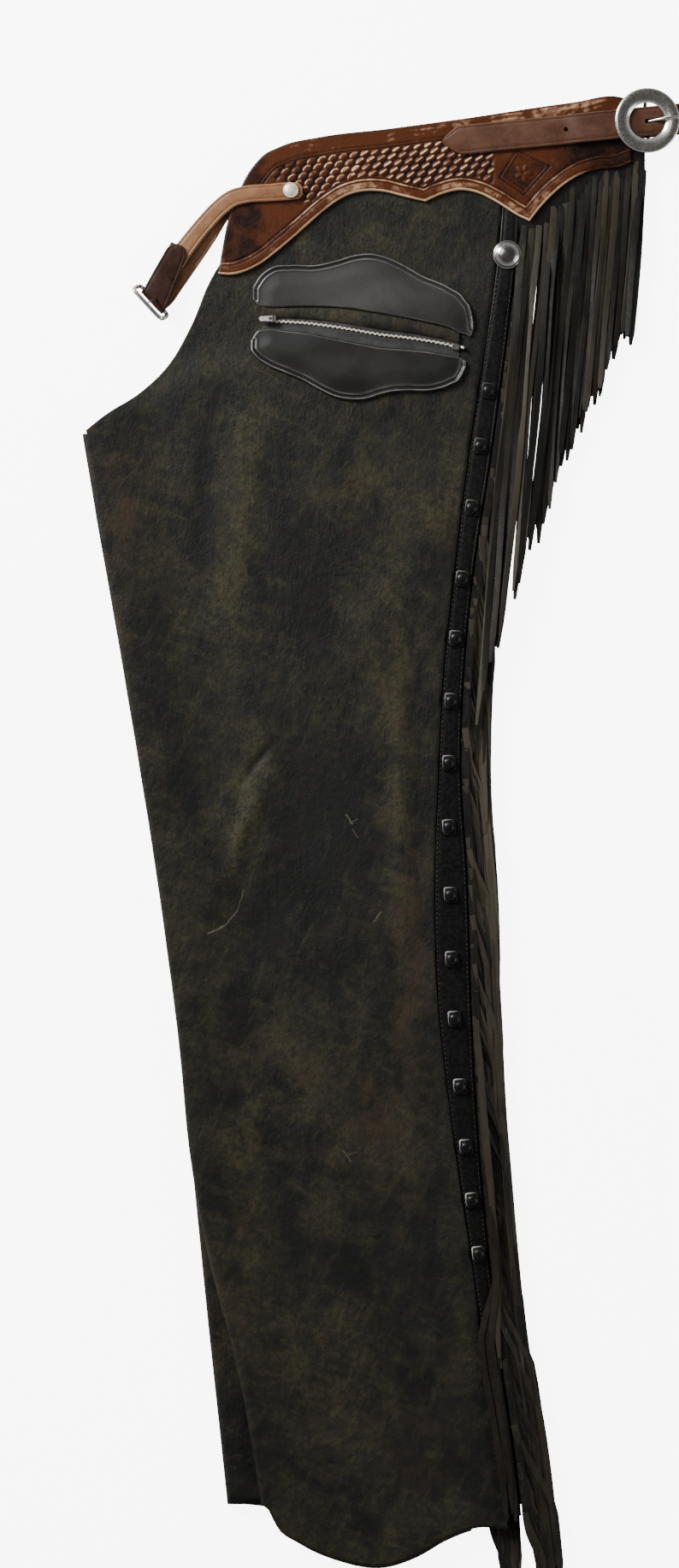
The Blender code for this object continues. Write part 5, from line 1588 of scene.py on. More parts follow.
def make_zip():
    """The band between the pocket's pieces: a rolled hide edge above, the closed zip and its tape."""
    xs = np.linspace(*ZIP_X, 150)
    tops, lows = zip_edges(xs)
    x, y, share = patch_grid(xs, tops, lows, 36)
    down = (1 - share)[None, :] * np.ones_like(x)
    base = pocket_base(x, y)
    roll = np.sqrt(np.clip(1 - ((down - ROLL_SHARE / 2) / (ROLL_SHARE / 2)) ** 2, 0.0, 1.0))
    z = base + 0.35 + 1.5 * roll - 0.3 * groove(down, 0.82, 0.09)
    split = int(np.argmin(np.abs(down[0] - ROLL_SHARE)))
    parts = (
        ("zip_roll", slice(split, None), hide_finish(), "leg_leather", ()),
        ("zip_tape", slice(0, split + 1), tape_finish(), "zip_tape", ("pocket_zip",)),
    )
    made = []
    for name, rows, finish, slot, replaces in parts:
        rings = []
        for c in range(len(xs)):
            face = np.stack([x[c, rows], y[c, rows], z[c, rows]], axis=1)
            under = np.stack([x[c, rows], y[c, rows], base[c, rows]], axis=1)
            rings.append([tuple(under[0]), *map(tuple, face), tuple(under[-1])])
        points, faces = loft(rings)
        piece = put(name, points, faces, finish, slot, replaces, sharp=60)
        made.append(piece)
    for stain in ("pale", "brown"):
        paint(made[0], stain, np.full(len(made[0].data.vertices), 0.25))
    return made


def make_teeth():
    """The closed zip's metal teeth, two rows that mesh."""
    look = bpy.context.scene.chaps_pocket
    pitch = look.tooth_pitch / MM
    count = int((ZIP_X[1] - ZIP_X[0] - 6.0) / pitch)
    parts = []
    for i in range(count):
        at = ZIP_X[0] + 4.0 + i * pitch
        upper, lower = zip_edges(np.array([at - 1.0, at + 1.0]))
        middles = upper + (lower - upper) * TEETH_SHARE
        lean = math.atan2(middles[1] - middles[0], 2.0)
        y = float(middles.mean()) + (0.3 if i % 2 else -0.3)
        z = float(pocket_base(at, y)) + 0.4
        size = (pitch * 0.74, 1.5, 1.0)
        points, faces, _ = rounded_tab(size, 0.4, (at, y, z), lean)
        parts.append((points, faces))
    return put("zip_teeth", *merge(parts), zip_metal_finish(), "nickel", sharp=40)


def make_end_stop():
    """The stop at the zip's right end: a bar with a ball."""
    upper, lower = zip_edges(np.array([48.0]))
    y = float(upper[0] + (lower[0] - upper[0]) * TEETH_SHARE)
    z = float(pocket_base(48.0, y)) + 0.5
    bar, faces, _ = rounded_tab((6.0, 4.4, 1.6), 1.2, (47.5, y, z), math.radians(-12))
    ball = turned(
        [(0.02, 3.0), (0.9, 2.7), (1.5, 1.9), (1.7, 1.1), (1.5, 0.3), (0.02, 0.0)], 20,
        (52.6, y - 0.5, z),
    )
    return put("zip_end_stop", *merge([(bar, faces), ball]), nickel_finish(), "nickel", sharp=40)


def polish_node(name, finish):
    """A fitting whose shape is already right keeps it and takes its metal."""
    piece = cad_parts[name]
    piece.data.materials.clear()
    piece.data.materials.append(finish)
    return piece


class CHAPS_OT_pocket(Operator):
    """Makes the pocket's two pieces, its zip and the fittings on it"""

    bl_idname = "chaps.pocket"
    bl_label = "Zip pocket"

    def execute(self, context):
        upper = make_patch("pocket_upper_leather", POCKET_UPPER, "top", ["pocket_upper"])
        lower = make_patch("pocket_lower_leather", POCKET_LOWER, "bottom", ["pocket_lower"])
        for piece, flat, area in ((upper, (161.0, 50.0), 0.0048), (lower, (157.0, 46.0), 0.0047)):
            sheet_of(flat)
        roll, tape = make_zip()
        for piece, flat in ((roll, (143.0, 11.0)), (tape, (143.0, 12.5))):
            sheet_of(flat)
        make_teeth()
        make_end_stop()
        polish_node("pocket_slider", nickel_finish())
        polish_node("pocket_pull", nickel_finish())
        return {"FINISHED"}


# Straps and buckles

BUCKLE_AT = (186.0, 517.7)
STRAP_SLOPE = math.radians(5.6)
BACK_STRAP_WIDTH = 21.0
STRAP_THICKNESS = 2.2
THIN_STRAP = 2.0
CHAPE_THICKNESS = 1.6
BAR_RADIUS = 1.3
BAR_Z = NEAR_YOKE_BASE + YOKE_THICKNESS / 2
RIM_BASE = 15.2
STRAP_HIGH = 13.6
STRAP_LOW = 11.5
STRAP_FAR = 4.0
STRAP_TIP = -148.8
LOOP_CENTRE = 30.4
CHAPE_LENGTH = 40.0
CHAPE_WIDTH = 20.0
CHAPE_RADIUS = BAR_RADIUS + SEAM + CHAPE_THICKNESS / 2
HOLE_AT = -59.0
RIM_PROFILE = (
    (22.9, 2.6), (23.3, 2.2), (23.5, 1.6), (23.4, 0.8), (23.1, 0.3), (22.4, 0.05), (18.0, -0.05),
    (13.9, 0.0), (13.2, 0.15), (13.0, 0.5), (13.4, 0.9), (14.4, 1.6), (16.0, 2.3), (18.4, 2.8),
    (21.4, 2.9),
)
FRONT_STRAP = (
    ("x", "y", "z", "width"),
    (
        (-63.5, 467.6, 11.4, 6.0), (-66.0, 467.6, 11.4, 11.0), (-71.9, 467.4, 11.4, 12.4),
        (-88.0, 466.2, 11.4, 12.4), (-103.0, 465.2, 11.4, 12.4), (-114.0, 462.4, 11.3, 12.4),
        (-123.0, 456.0, 10.6, 12.4), (-132.0, 447.0, 9.2, 12.4), (-140.7, 437.1, 7.5, 12.6),
        (-147.6, 428.4, 6.3, 13.0), (-155.0, 418.0, 6.0, 13.4), (-163.0, 404.0, 6.0, 14.0),
    ),
)
RIGHT_FRONT_STRAP = (
    ("x", "y", "z", "width"),
    (
        (-108.0, 464.0, 3.9, 12.4), (-117.3, 457.5, 3.9, 12.4), (-132.7, 435.1, 3.9, 12.4),
        (-138.0, 427.5, 1.8, 12.4), (-147.0, 414.5, 1.35, 12.4), (-156.3, 401.0, 1.35, 12.4),
        (-163.8, 390.2, 1.35, 12.0), (-167.0, 385.6, 1.35, 9.0),
    ),
)
FRONT_SNAP_AT = (-71.9, 467.8)
FRONT_SNAP_RADIUS = 5.6
FRONT_BAR_AT = (-171.0, 389.0, 6.0)
FRONT_BAR_ANGLE = math.radians(-47.3)
SLEEVE_TOP = (-152.2, 428.7)
SLEEVE_WIDTHS = (14.5, 22.0)
SLEEVE_GAP = 2.4
FRONT_FRAME = (15.0, 14.0)
FRONT_FRAME_TILT = math.radians(62.0)
FRONT_WIRE = 1.5
FRONT_CORNER = 4.0


def half_turn(centre, height, radius, steps):
    for i in range(steps + 1):
        turn = math.pi * i / steps
        yield centre + radius * math.sin(turn), height + radius * math.cos(turn)


def from_buckle(points):
    """Places along the back belt, across it and up, as places in the frame."""
    matrix = Matrix.Translation((*BUCKLE_AT, 0.0)) @ Matrix.Rotation(STRAP_SLOPE, 4, "Z")
    return [tuple(matrix @ Vector(p)) for p in points]


def dense(stations, gap):
    """Stations with more between them, so that none is further than a gap from the next."""
    stations = np.asarray(stations, float)
    made = [stations[0]]
    for one, two in zip(stations[:-1], stations[1:]):
        steps = max(1, int(np.linalg.norm((two - one)[:2]) / gap))
        made += [one + (two - one) * (k + 1) / steps for k in range(steps)]
    return np.array(made)


def belt_piece(name, stations, thickness, finish, slot, replaces):
    stations = dense(stations, 5.0)
    side = Matrix.Rotation(STRAP_SLOPE, 3, "Z") @ Vector((0.0, 1.0, 0.0))
    path = from_buckle([(s, 0.0, z) for s, z, _ in stations])
    return put_strap(name, path, stations[:, 2], thickness, finish, slot, replaces, [side] * len(path))


def punch(piece, points, faces):
    """Cuts a closed shape out of a piece, for good."""
    tool = bpy.data.objects.new("punch", mesh_of("punch", points, faces))
    bpy.context.scene.collection.objects.link(tool)
    cut = piece.modifiers.new("punch", "BOOLEAN")
    cut.object = tool
    cut.operation = "DIFFERENCE"
    cut.solver = "EXACT"
    with bpy.context.temp_override(object=piece):
        bpy.ops.object.modifier_apply(modifier=cut.name)
    bpy.data.objects.remove(tool)


def box_shape(centre, size):
    corners = [(x, y, z) for x in (-0.5, 0.5) for y in (-0.5, 0.5) for z in (-0.5, 0.5)]
    points = [tuple(c + k * s for c, k, s in zip(centre, corner, size)) for corner in corners]
    return points, [(0, 1, 3, 2), (4, 6, 7, 5), (0, 4, 5, 1), (2, 3, 7, 6), (0, 2, 6, 4), (1, 5, 7, 3)]


def make_belt():
    look = bpy.context.scene.chaps_straps
    wide = BACK_STRAP_WIDTH
    point = ((0.0, 1.6), (2.0, 6.5), (6.0, 12.5), (10.0, 18.0), (13.0, wide))
    stations = [(STRAP_TIP + s, STRAP_LOW, width) for s, width in point]
    climb = [(-62.0 + 16.0 * t, STRAP_LOW + (STRAP_HIGH - STRAP_LOW) * float(smooth_step(t)), wide)
             for t in np.linspace(0, 1, 7)]
    middle, radius = (STRAP_HIGH + STRAP_FAR) / 2, (STRAP_HIGH - STRAP_FAR) / 2
    stations += climb + [(LOOP_CENTRE - 4.0, STRAP_HIGH, wide)]
    stations += [(s, z, wide) for s, z in half_turn(LOOP_CENTRE, middle, radius, 18)]
    stations += [(0.0, STRAP_FAR, wide), (-45.0, STRAP_FAR, wide)]
    finish = strap_finish("Russet strap leather", look.back, 0.05, 1.9)
    belt = belt_piece("back_belt", stations, STRAP_THICKNESS, finish, "strap_leather", ["back_strap"])
    hole = turned(
        [(0.02, -3.0), (1.6, -3.0), (1.6, 3.0), (0.02, 3.0)], 20,
        from_buckle([(HOLE_AT, 0.0, STRAP_LOW + 0.8)])[0],
    )
    punch(belt, *hole)
    points, faces = box_shape((3.8, 0.0, 12.6), (10.6, 3.2, 7.4))
    punch(belt, from_buckle(points), faces)
    stations = [(-CHAPE_LENGTH, BAR_Z + CHAPE_RADIUS, CHAPE_WIDTH)]
    stations += [(s, z, CHAPE_WIDTH) for s, z in half_turn(0.0, BAR_Z, CHAPE_RADIUS, 12)]
    stations += [(8.0 - CHAPE_LENGTH, BAR_Z - CHAPE_RADIUS, CHAPE_WIDTH)]
    finish = strap_finish("Dark brown sleeve leather", look.chape, 0.04, 8.2, 0.08)
    chape = belt_piece(
        "back_belt_chape", stations, CHAPE_THICKNESS, finish, "chape_leather", ["back_chape"],
    )
    punch(chape, from_buckle(points), faces)
    sheet_of((wide, 270.0))
    sheet_of((CHAPE_WIDTH, 80.0))


def make_round_buckle():
    points, faces = turned(RIM_PROFILE, 96, (0.0, 0.0, RIM_BASE))
    rim = put(
        "round_buckle_rim", from_buckle(points), faces, nickel_finish(), "nickel", ["back_buckle"],
        sharp=50,
    )
    side = [(18.0, RIM_BASE + 1.2), (15.0, RIM_BASE - 0.1), (13.0, 12.6), (12.4, 10.2), (11.6, BAR_Z)]
    path = [(0.0, -t, z) for t, z in side] + [(0.0, t, z) for t, z in reversed(side)]
    points, faces = tube(smooth_path(path, 50), BAR_RADIUS, 16)
    bar = put("round_buckle_bar", from_buckle(points), faces, nickel_finish(), "nickel")
    path = [
        (0.3, 0.0, 11.6), (2.5, 0.0, 12.9), (7.6, 0.0, 16.4), (12.5, 0.0, 18.9), (17.0, 0.0, 19.3),
        (24.6, 0.0, 19.25),
    ]
    path = smooth_path(path, 30)
    points, faces = tube(path, np.linspace(1.15, 0.85, 30), 14)
    prong = put("round_buckle_prong", from_buckle(points), faces, nickel_finish(), "nickel", ["back_prong"])
    return rim, bar, prong


def table_path(table, steps):
    rows = np.stack([column(table, name) for name in table[0]], axis=1)
    made = smooth_path(rows, steps)
    return made[:, :3], made[:, 3]


def make_front_tie():
    look = bpy.context.scene.chaps_straps
    finish = strap_finish("Tan strap leather", look.front, 0.03, 3.7)
    path, widths = table_path(FRONT_STRAP, 60)
    near = put_strap(
        "front_tie_left", path, widths, THIN_STRAP, finish, "front_strap_leather",
        ["left_front_strap"],
    )
    path, widths = table_path(RIGHT_FRONT_STRAP, 40)
    far = put_strap(
        "front_tie_right", path, widths, THIN_STRAP, finish, "front_strap_leather",
        ["right_front_strap"],
    )
    profile = [(r * FRONT_SNAP_RADIUS, z * 2.6) for r, z in SNAP_PROFILE]
    place = (*FRONT_SNAP_AT, FRONT_STRAP[1][0][2] + THIN_STRAP / 2 + SEAM)
    put(
        "front_tie_snap", *turned(rounded_profile(profile), 40, place), zip_metal_finish(),
        "nickel", ["front_snap"], sharp=40,
    )
    sheet_of((12.8, 128.0))
    sheet_of((12.2, 102.0))


def front_axes():
    bar = Vector((math.cos(FRONT_BAR_ANGLE), math.sin(FRONT_BAR_ANGLE), 0.0))
    return bar, Vector((bar.y, -bar.x, 0.0))


def make_small_buckle():
    bar, out = front_axes()
    up = Vector((0.0, 0.0, 1.0))
    stand = out * math.cos(FRONT_FRAME_TILT) + up * math.sin(FRONT_FRAME_TILT)
    centre = Vector(FRONT_BAR_AT)
    half, deep = FRONT_FRAME
    loop = []
    sides = ((1, deep - FRONT_CORNER), (-1, deep - FRONT_CORNER), (-1, FRONT_CORNER), (1, FRONT_CORNER))
    for quarter, (sign, depth) in enumerate(sides):
        for step in range(7):
            angle = math.radians(quarter * 90.0 + step * 15.0)
            along = sign * (half - FRONT_CORNER) + FRONT_CORNER * math.cos(angle)
            away = depth + FRONT_CORNER * math.sin(angle)
            loop.append(centre + bar * along + stand * away)
    points, faces = tube([tuple(p) for p in loop], FRONT_WIRE, 14, closed=True)
    put("small_buckle_frame", points, faces, nickel_finish(), "nickel", ["front_buckle"])
    face = stand.cross(bar)
    if face.dot(out) > 0:
        face = -face
    root = centre + face * 2.8
    tip = root + stand * (deep + 1.0)
    points, faces = tube(
        [tuple(root.lerp(tip, t)) for t in np.linspace(0, 1, 16)], np.linspace(1.0, 0.75, 16), 12,
    )
    put("small_buckle_prong", points, faces, nickel_finish(), "nickel", ["front_prong"])


def make_sleeve():
    look = bpy.context.scene.chaps_straps
    bar, out = front_axes()
    up = Vector((0.0, 0.0, 1.0))
    centre = Vector(FRONT_BAR_AT)
    top = Vector((*SLEEVE_TOP, centre.z))
    way = (centre - top).normalized()
    square = Vector((-way.y, way.x, 0.0))
    if square.dot(bar) < 0:
        square = -square
    narrow, wide = SLEEVE_WIDTHS
    path, sides, widths = [], [], []
    shares = np.concatenate([np.linspace(0.0, 0.16, 7), np.linspace(0.22, 0.9, 10)])
    for rise, some in ((SLEEVE_GAP, shares), (None, ()), (-SLEEVE_GAP, shares[::-1])):
        for share in some:
            path.append(tuple(top.lerp(centre, share) + up * rise))
            sides.append(tuple(square.lerp(bar, share).normalized()))
            full = narrow + (wide - narrow) * share
            widths.append(full * math.sqrt(min(1.0, 0.12 + share / 0.16)) if rise > 0 else full)
        if rise is None:
            for s, z in half_turn(0.0, 0.0, SLEEVE_GAP, 12):
                path.append(tuple(centre + out * s + up * z))
                sides.append(tuple(bar))
                widths.append(wide)
    finish = strap_finish("Dark brown sleeve leather", look.chape, 0.04, 8.2, 0.08)
    piece = put_strap(
        "front_tie_sleeve", path, widths, CHAPE_THICKNESS, finish, "chape_leather", ["front_chape"],
        sides,
    )
    sheet_of((18.0, 88.0))


class CHAPS_OT_front_tie(Operator):
    """Makes the front straps, their snap, the sleeve and the small buckle"""

    bl_idname = "chaps.front_tie"
    bl_label = "Front tie"

    def execute(self, context):
        make_front_tie()
        make_small_buckle()
        make_sleeve()
        return {"FINISHED"}


class CHAPS_OT_back_belt(Operator):
    """Makes the back belt with its chape and the round buckle"""

    bl_idname = "chaps.back_belt"
    bl_label = "Back belt"

    def execute(self, context):
        make_belt()
        make_round_buckle()
        return {"FINISHED"}


# Fringe

FRINGE_SEAM = 0.8
FRINGE_BACKING = 5.6
FRINGE_LEAST = 0.9
LEG_FRINGE_TOP = 388.0
LEG_FRINGE_BOTTOM = -497.0
FRINGE_LOWEST = -541.3
LANES = (1.0, 13.0, 5.0, 16.5, 9.0, 3.0, 15.0, 7.0, 11.0)
FLARE = 4.0
STRIP_CLEAR_Y = -312.0
INWARD_STRANDS = (
    ("root", "length", "inward", "shade"),
    (-132.0, 222.0, 9.0, 0.8), (-150.0, 228.0, 7.0, 0.6), (-141.0, 236.0, 4.5, 0.9),
    (-166.0, 219.0, 6.0, 0.7), (-236.0, 232.0, 13.0, 0.1), (-252.0, 226.0, 10.5, 0.2),
    (-262.0, 232.0, 15.5, 0.05), (-275.0, 215.0, 12.0, 0.15), (-290.0, 205.0, 17.0, 0.1),
    (-300.0, 196.0, 9.0, 0.2),
)
HIP_X = (93.5, 185.5)
FAR_HIP_X = (122.0, 184.0)
HIP_LEAN = -0.085
HIP_HEADER = (
    ("x", "top", "cut"),
    (
        (93.0, 466.0, 419.0), (101.1, 462.0, 417.0), (122.8, 482.0, 436.0), (136.4, 491.0, 450.0),
        (150.0, 496.0, 457.0), (166.2, 498.0, 462.0), (186.0, 501.0, 468.0),
    ),
)
HIP_TIPS = (
    ("x", "y"),
    (
        (92.0, 80.0), (97.0, 96.0), (102.0, 132.0), (108.0, 152.0), (115.0, 186.0), (125.0, 214.0),
        (135.0, 254.0), (145.0, 279.0), (157.0, 307.0), (166.0, 326.0), (176.0, 356.0),
        (187.0, 369.0),
    ),
)


def ribbon(path, width, thick, tilts):
    """A flat strand along a path: its width lies level but for a tilt at each point, and its tip narrows."""
    path = np.asarray(path, float)
    ways = np.gradient(path, axis=0)
    rings = []
    for i, middle in enumerate(path):
        way = ways[i] / np.linalg.norm(ways[i])
        side = np.array((way[1], -way[0], 0.0))
        side /= np.linalg.norm(side)
        up = np.cross(side, way)
        tilted = side * math.cos(tilts[i]) + up * math.sin(tilts[i])
        other = np.cross(tilted, way)
        last = i == len(path) - 1
        half = width / 2 * (0.45 if last else 1.0)
        corners = ((-half, -0.5), (-half, 0.5), (0.0, 0.62), (half, 0.5), (half, -0.5))
        rings.append([tuple(middle + tilted * a + other * b * thick) for a, b in corners])
    return loft(rings)


def put_strands(name, strands, slot, replaces, extra=()):
    """Joins strands to one piece, each with its own shade and warmth."""
    parts = [strand for strand, _, _ in strands] + [part for part, _, _ in extra]
    shades = [v for part, shade, _ in [*strands, *extra] for v in [shade] * len(part[0])]
    warms = [v for part, _, warm in [*strands, *extra] for v in [warm] * len(part[0])]
    piece = put(name, *merge(parts), fringe_finish(), slot, replaces, sharp=45)
    paint(piece, "shade", shades)
    paint(piece, "warm", warms)
    return piece


def leg_strand(leg, root, length, lane, level, drop, width, tilt, rng, inward=0.0):
    """A strand that leaves the outseam sideways, turns down and hangs in its own lane beside it."""
    steps = 15
    path, tilts = [], []
    phase, sway = rng.uniform(0, 6.3), rng.uniform(0.3, 1.5)
    turn = 14.0 + 2.6 * lane
    for k in range(steps):
        s = length * (k / (steps - 1)) ** 1.2
        at = root - s - 1.0
        x = float(strip_x(at, leg)) + FRINGE_SEAM + FRINGE_BACKING * 0.4
        x -= inward * float(smooth_step((STRIP_CLEAR_Y - at) / 60.0))
        x += lane * float(smooth_step(s / turn)) + sway * math.sin(s / 47.0 + phase) * min(1.0, s / 50.0)
        z = level - drop * float(smooth_step(s / 40.0)) + 0.5 * math.sin(s / 31.0 + phase)
        path.append((x, at, max(z, FRINGE_LEAST)))
        tilts.append(tilt * math.sin(s / 70.0 + phase))
    return ribbon(path, width, 1.2, tilts)


def make_leg_fringe(name, leg, level, drop, seed, replaces, count, inwards=False):
    look = bpy.context.scene.chaps_fringe
    rng = random.Random(seed)
    strands = []
    for j in range(count):
        root = LEG_FRINGE_TOP - (
            LEG_FRINGE_TOP - LEG_FRINGE_BOTTOM
        ) * (j + rng.uniform(-0.3, 0.3)) / (count - 1)
        root = min(LEG_FRINGE_TOP, max(root, LEG_FRINGE_BOTTOM))
        length = 225.0 + rng.uniform(-34.0, 14.0)
        lowest = FRINGE_LOWEST + (rng.uniform(0.0, 30.0) if j % 3 else 0.5)
        length = min(length, root - lowest - 1.0)
        lane = LANES[(j * 5 + seed) % len(LANES)] + rng.uniform(-0.8, 0.8) + FLARE * float(
            smooth_step((-200.0 - root) / 200.0),
        )
        part = leg_strand(leg, root, length, lane, level + rng.uniform(-0.6, 0.6), drop,
                          look.width / MM * rng.uniform(0.8, 1.1), rng.uniform(0.0, 0.5), rng)
        shade = rng.choice((0.3, 0.7, 1.0, 1.3, 1.6)) * (
            1.0 - 0.65 * float(smooth_step((-60.0 - root) / 160.0))
        )
        strands.append((part, shade, max(0.0, rng.uniform(-0.9, 1.0))))
    rows = np.linspace(LEG_FRINGE_TOP + 3.0, LEG_FRINGE_BOTTOM - 2.0, 100)
    edge = strip_x(rows, leg) + FRINGE_SEAM
    path = np.stack([edge + FRINGE_BACKING / 2, rows, np.full(len(rows), level)], axis=1)
    points, faces, _ = strap(path, [FRINGE_BACKING] * len(rows), 1.4, [(-1.0, 0.0, 0.0)] * len(rows))
    if inwards:
        for k, (root, length, inward, shade) in enumerate(INWARD_STRANDS[1:]):
            part = leg_strand(
                leg, root, length, 2.0, level + 1.0 + 0.5 * (k % 3), 0.0, look.width / MM, 0.1, rng,
                inward,
            )
            strands.append((part, shade, 0.6))
    return put_strands(name, strands, "fringe_leather", replaces, [((points, faces), 0.1, 0.0)])


def make_hip_fringe(name, span, level, drop, seed, replaces, count, climbs):
    look = bpy.context.scene.chaps_fringe
    rng = random.Random(seed)
    strands = []
    pitch = (span[1] - span[0]) / count
    for j in range(count):
        middle = span[0] + (j + 0.5) * pitch
        cut = float(read(HIP_HEADER, "x", "cut", middle)) + rng.uniform(6.0, 24.0)
        tip = float(read(HIP_TIPS, "x", "y", middle)) + rng.uniform(-12.0, 9.0)
        steps = 16
        path, tilts = [], []
        lean = HIP_LEAN + rng.uniform(-0.012, 0.009)
        phase = rng.uniform(0.0, 6.3)
        lift = 0.7 * (j % 3)
        for k in range(steps):
            y = cut + 4.0 + (tip - cut - 4.0) * k / (steps - 1)
            s = cut - y
            x = middle + lean * max(0.0, s) + 1.1 * math.sin(s / 38.0 + phase) * min(
                1.0, max(0.0, s) / 50.0,
            )
            rise = 5.2 if climbs and middle < 122.0 else 1.2
            z = level + lift * float(smooth_step(s / 25.0)) + rise * float(smooth_step(s / 30.0))
            z -= drop * float(smooth_step(s / 140.0)) + 0.3 * math.sin(s / 26.0 + phase)
            path.append((x, y, max(z, FRINGE_LEAST)))
            tilts.append(
                rng.uniform(-0.06, 0.06) + 0.42 * math.sin(s / 60.0 + phase) * min(1.0, max(0.0, s) / 60.0),
            )
        part = ribbon(path, look.hip_width / MM * rng.uniform(0.8, 1.15), 1.3, tilts)
        strands.append((part, rng.choice((0.0, 0.08, 0.16, 0.3, 0.8)), max(0.0, rng.uniform(-1.0, 0.8))))
    xs = np.linspace(span[0] - 0.5, span[1] - 0.4, 80)
    tops, cuts = read(HIP_HEADER, "x", "top", xs), read(HIP_HEADER, "x", "cut", xs) - 2.0
    rings = []
    for x, top, cut in zip(xs, tops, cuts):
        rings.append(
            [
                (x, cut, level - 0.7), (x, cut, level + 0.5), (x, cut + 1.0, level + 0.7),
                (x, top, level + 0.7), (x, top, level - 0.7),
            ],
        )
    return put_strands(name, strands, "fringe_leather", replaces, [(loft(rings), 0.0, 0.0)])


class CHAPS_OT_fringe(Operator):
    """Makes the outseam fringes and the hip fringes"""

    bl_idname = "chaps.fringe"
    bl_label = "Fringes"

    def execute(self, context):
        look = context.scene.chaps_fringe
        low = strip_level("left") - STRIP_THICKNESS / 2 + 0.7
        pieces = [
            (
                make_leg_fringe(
                    "left_outseam_fringe_lower", "left", low, 3.2, 11, ["left_leg_fringe_under"],
                    look.strands,
                ),
                226.0,
            ),
            (
                make_leg_fringe(
                    "left_outseam_fringe_upper", "left", low + 1.8, 3.4, 23,
                    ["left_leg_fringe_over"], look.strands, True,
                ),
                226.0,
            ),
            (
                make_leg_fringe(
                    "right_outseam_fringe", "right", 1.1, 0.0, 37, ["right_leg_fringe"],
                    look.strands,
                ),
                226.0,
            ),
        ]
        for (piece, length), rests_on in zip(pieces, ("left_leg", "left_leg", "floor")):
            sheet_of((length, 885.0))
        near = make_hip_fringe(
            "left_hip_fringe_strands", HIP_X, 6.35, 1.6, 41, ["left_hip_fringe"], look.hip_strands,
            True,
        )
        far = make_hip_fringe(
            "right_hip_fringe_strands", FAR_HIP_X, 3.7, 3.4, 53, ["right_hip_fringe"],
            look.hip_strands * 2 // 3, False,
        )
        hips = ((near, 92.0, 0.0355, "right_hip_fringe"), (far, 62.0, 0.0240, "floor"))
        for piece, width, area, rests_on in hips:
            sheet_of((width, 390.0))
        return {"FINISHED"}


# Stage

FRAME_MIDDLE = (-0.0366, 0.0378)
TOP_LAYER = 0.009


def area_light(name, place, size, power):
    light = bpy.data.lights.new(name, "AREA")
    light.energy = power
    light.size = size
    made = bpy.data.objects.new(name, light)
    bpy.context.scene.collection.objects.link(made)
    made.location = place
    made.rotation_euler = (-Vector(place)).to_track_quat("-Z", "Y").to_euler()
    return made


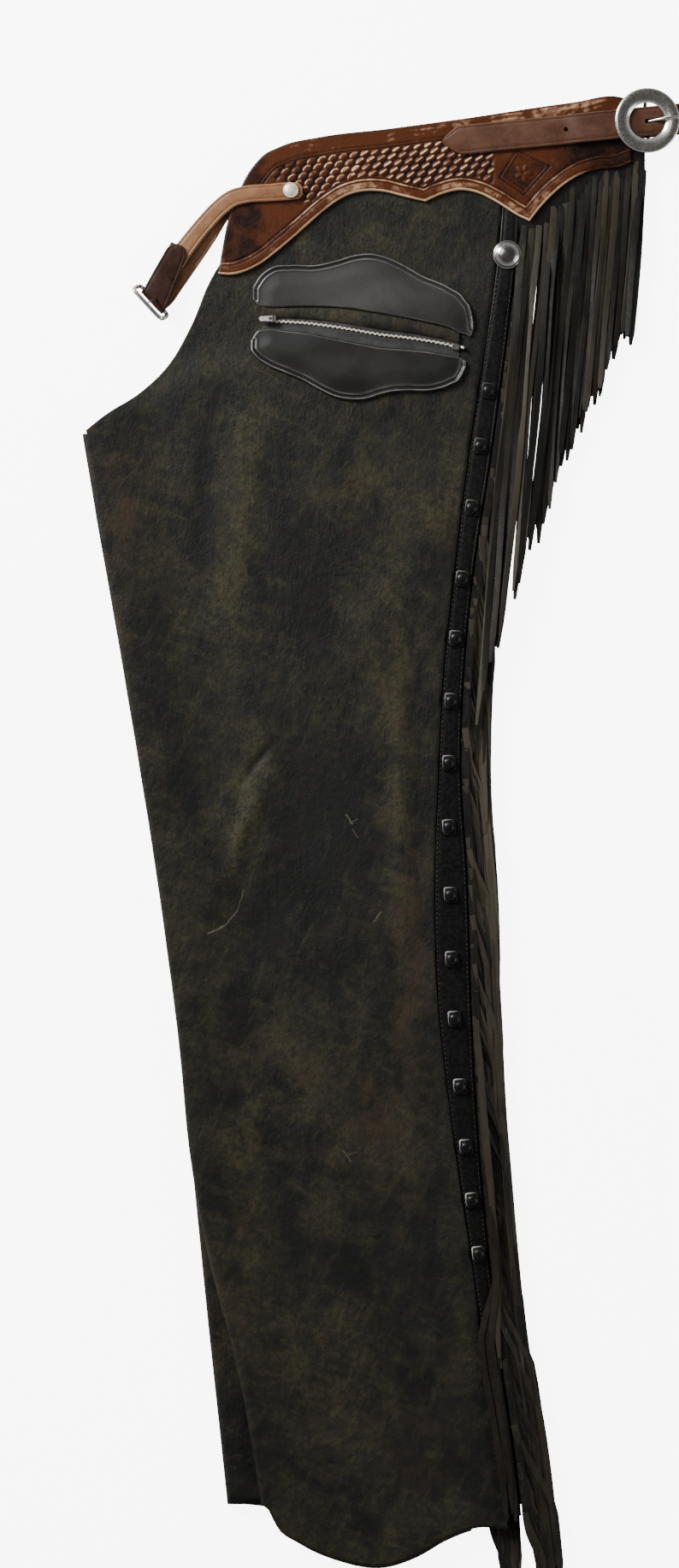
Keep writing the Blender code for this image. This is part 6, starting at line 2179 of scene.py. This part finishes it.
class CHAPS_OT_stage(Operator):
    """Makes the pale floor, the studio light and the camera"""

    bl_idname = "chaps.stage"
    bl_label = "Stage"

    def execute(self, context):
        look = context.scene.chaps_stage
        mesh = bpy.data.meshes.new("floor")
        mesh.from_pydata([(-40, -40, 0), (40, -40, 0), (40, 40, 0), (-40, 40, 0)], [], [(0, 1, 2, 3)])
        made, tree, shader, where = begin_material("Pale floor")
        tone = noise(tree, where, 3.0, 3.0)
        face = blend(tree, tone, look.floor, [c * 0.985 for c in look.floor])
        tree.links.new(face, shader.inputs["Base Color"])
        shader.inputs["Roughness"].default_value = 0.9
        shader.inputs["Emission Color"].default_value = (1.0, 1.0, 1.0, 1.0)
        seen = tree.nodes.new("ShaderNodeLightPath").outputs["Is Camera Ray"]
        tree.links.new(maths(tree, "MULTIPLY", seen, look.glow), shader.inputs["Emission Strength"])
        mesh.materials.append(made)
        floor = bpy.data.objects.new("floor", mesh)
        floor.location.z = -0.0002
        context.scene.collection.objects.link(floor)
        area_light("key_light", (-2.0, 1.8, 1.3), 0.9, look.key)
        area_light("top_light", (-0.75, 1.0, 1.45), 0.8, look.top)
        area_light("fill_light", (2.2, -0.4, 1.0), 1.4, look.fill)
        world = bpy.data.worlds.new("Studio")
        context.scene.world = world
        world.use_nodes = True
        tree = world.node_tree
        way = tree.nodes.new("ShaderNodeTexCoord").outputs["Generated"]
        height = node(tree, "ShaderNodeSeparateXYZ", {0: way}).outputs[2]
        sky = tree.nodes["Background"]
        shade = stretch(tree, height, 0.25, 0.9, look.sky, look.sky * look.zenith)
        tree.links.new(shade, sky.inputs["Strength"])
        sky.inputs["Color"].default_value = (1.0, 1.0, 1.0, 1.0)
        camera = bpy.data.objects.new("camera", bpy.data.cameras.new("camera"))
        camera.data.lens = 85.0
        camera.data.sensor_width = 36.0
        camera.data.clip_end = 50.0
        camera.location = (*FRAME_MIDDLE, TOP_LAYER + look.distance)
        context.scene.collection.objects.link(camera)
        context.scene.camera = camera
        return {"FINISHED"}


class CHAPS_PT_panel(Panel):
    bl_label = "Leather chaps"
    bl_idname = "CHAPS_PT_panel"
    bl_space_type = "VIEW_3D"
    bl_region_type = "UI"
    bl_category = "Chaps"

    def draw(self, context):
        for operator in OPERATORS:
            self.layout.operator(operator.bl_idname)


LOOKS = {
    "chaps_legs": LegLook,
    "chaps_yokes": YokeLook,
    "chaps_straps": StrapLook,
    "chaps_pocket": PocketLook,
    "chaps_fringe": FringeLook,
    "chaps_fittings": FittingLook,
    "chaps_stage": StageLook,
}
OPERATORS = (
    CHAPS_OT_legs,
    CHAPS_OT_yokes,
    CHAPS_OT_closure,
    CHAPS_OT_pocket,
    CHAPS_OT_front_tie,
    CHAPS_OT_back_belt,
    CHAPS_OT_fringe,
    CHAPS_OT_stage,
)


def register():
    for made in (*LOOKS.values(), *OPERATORS, CHAPS_PT_panel):
        bpy.utils.register_class(made)
    for name, made in LOOKS.items():
        setattr(bpy.types.Scene, name, PointerProperty(type=made))


def unregister():
    for name in LOOKS:
        delattr(bpy.types.Scene, name)
    for made in reversed((*LOOKS.values(), *OPERATORS, CHAPS_PT_panel)):
        bpy.utils.unregister_class(made)


def main():
    register()
    bpy.ops.chaps.legs()
    bpy.ops.chaps.yokes()
    bpy.ops.chaps.closure()
    bpy.ops.chaps.pocket()
    bpy.ops.chaps.front_tie()
    bpy.ops.chaps.back_belt()
    bpy.ops.chaps.fringe()
    bpy.ops.chaps.stage()


if __name__ == "__main__":
    main()
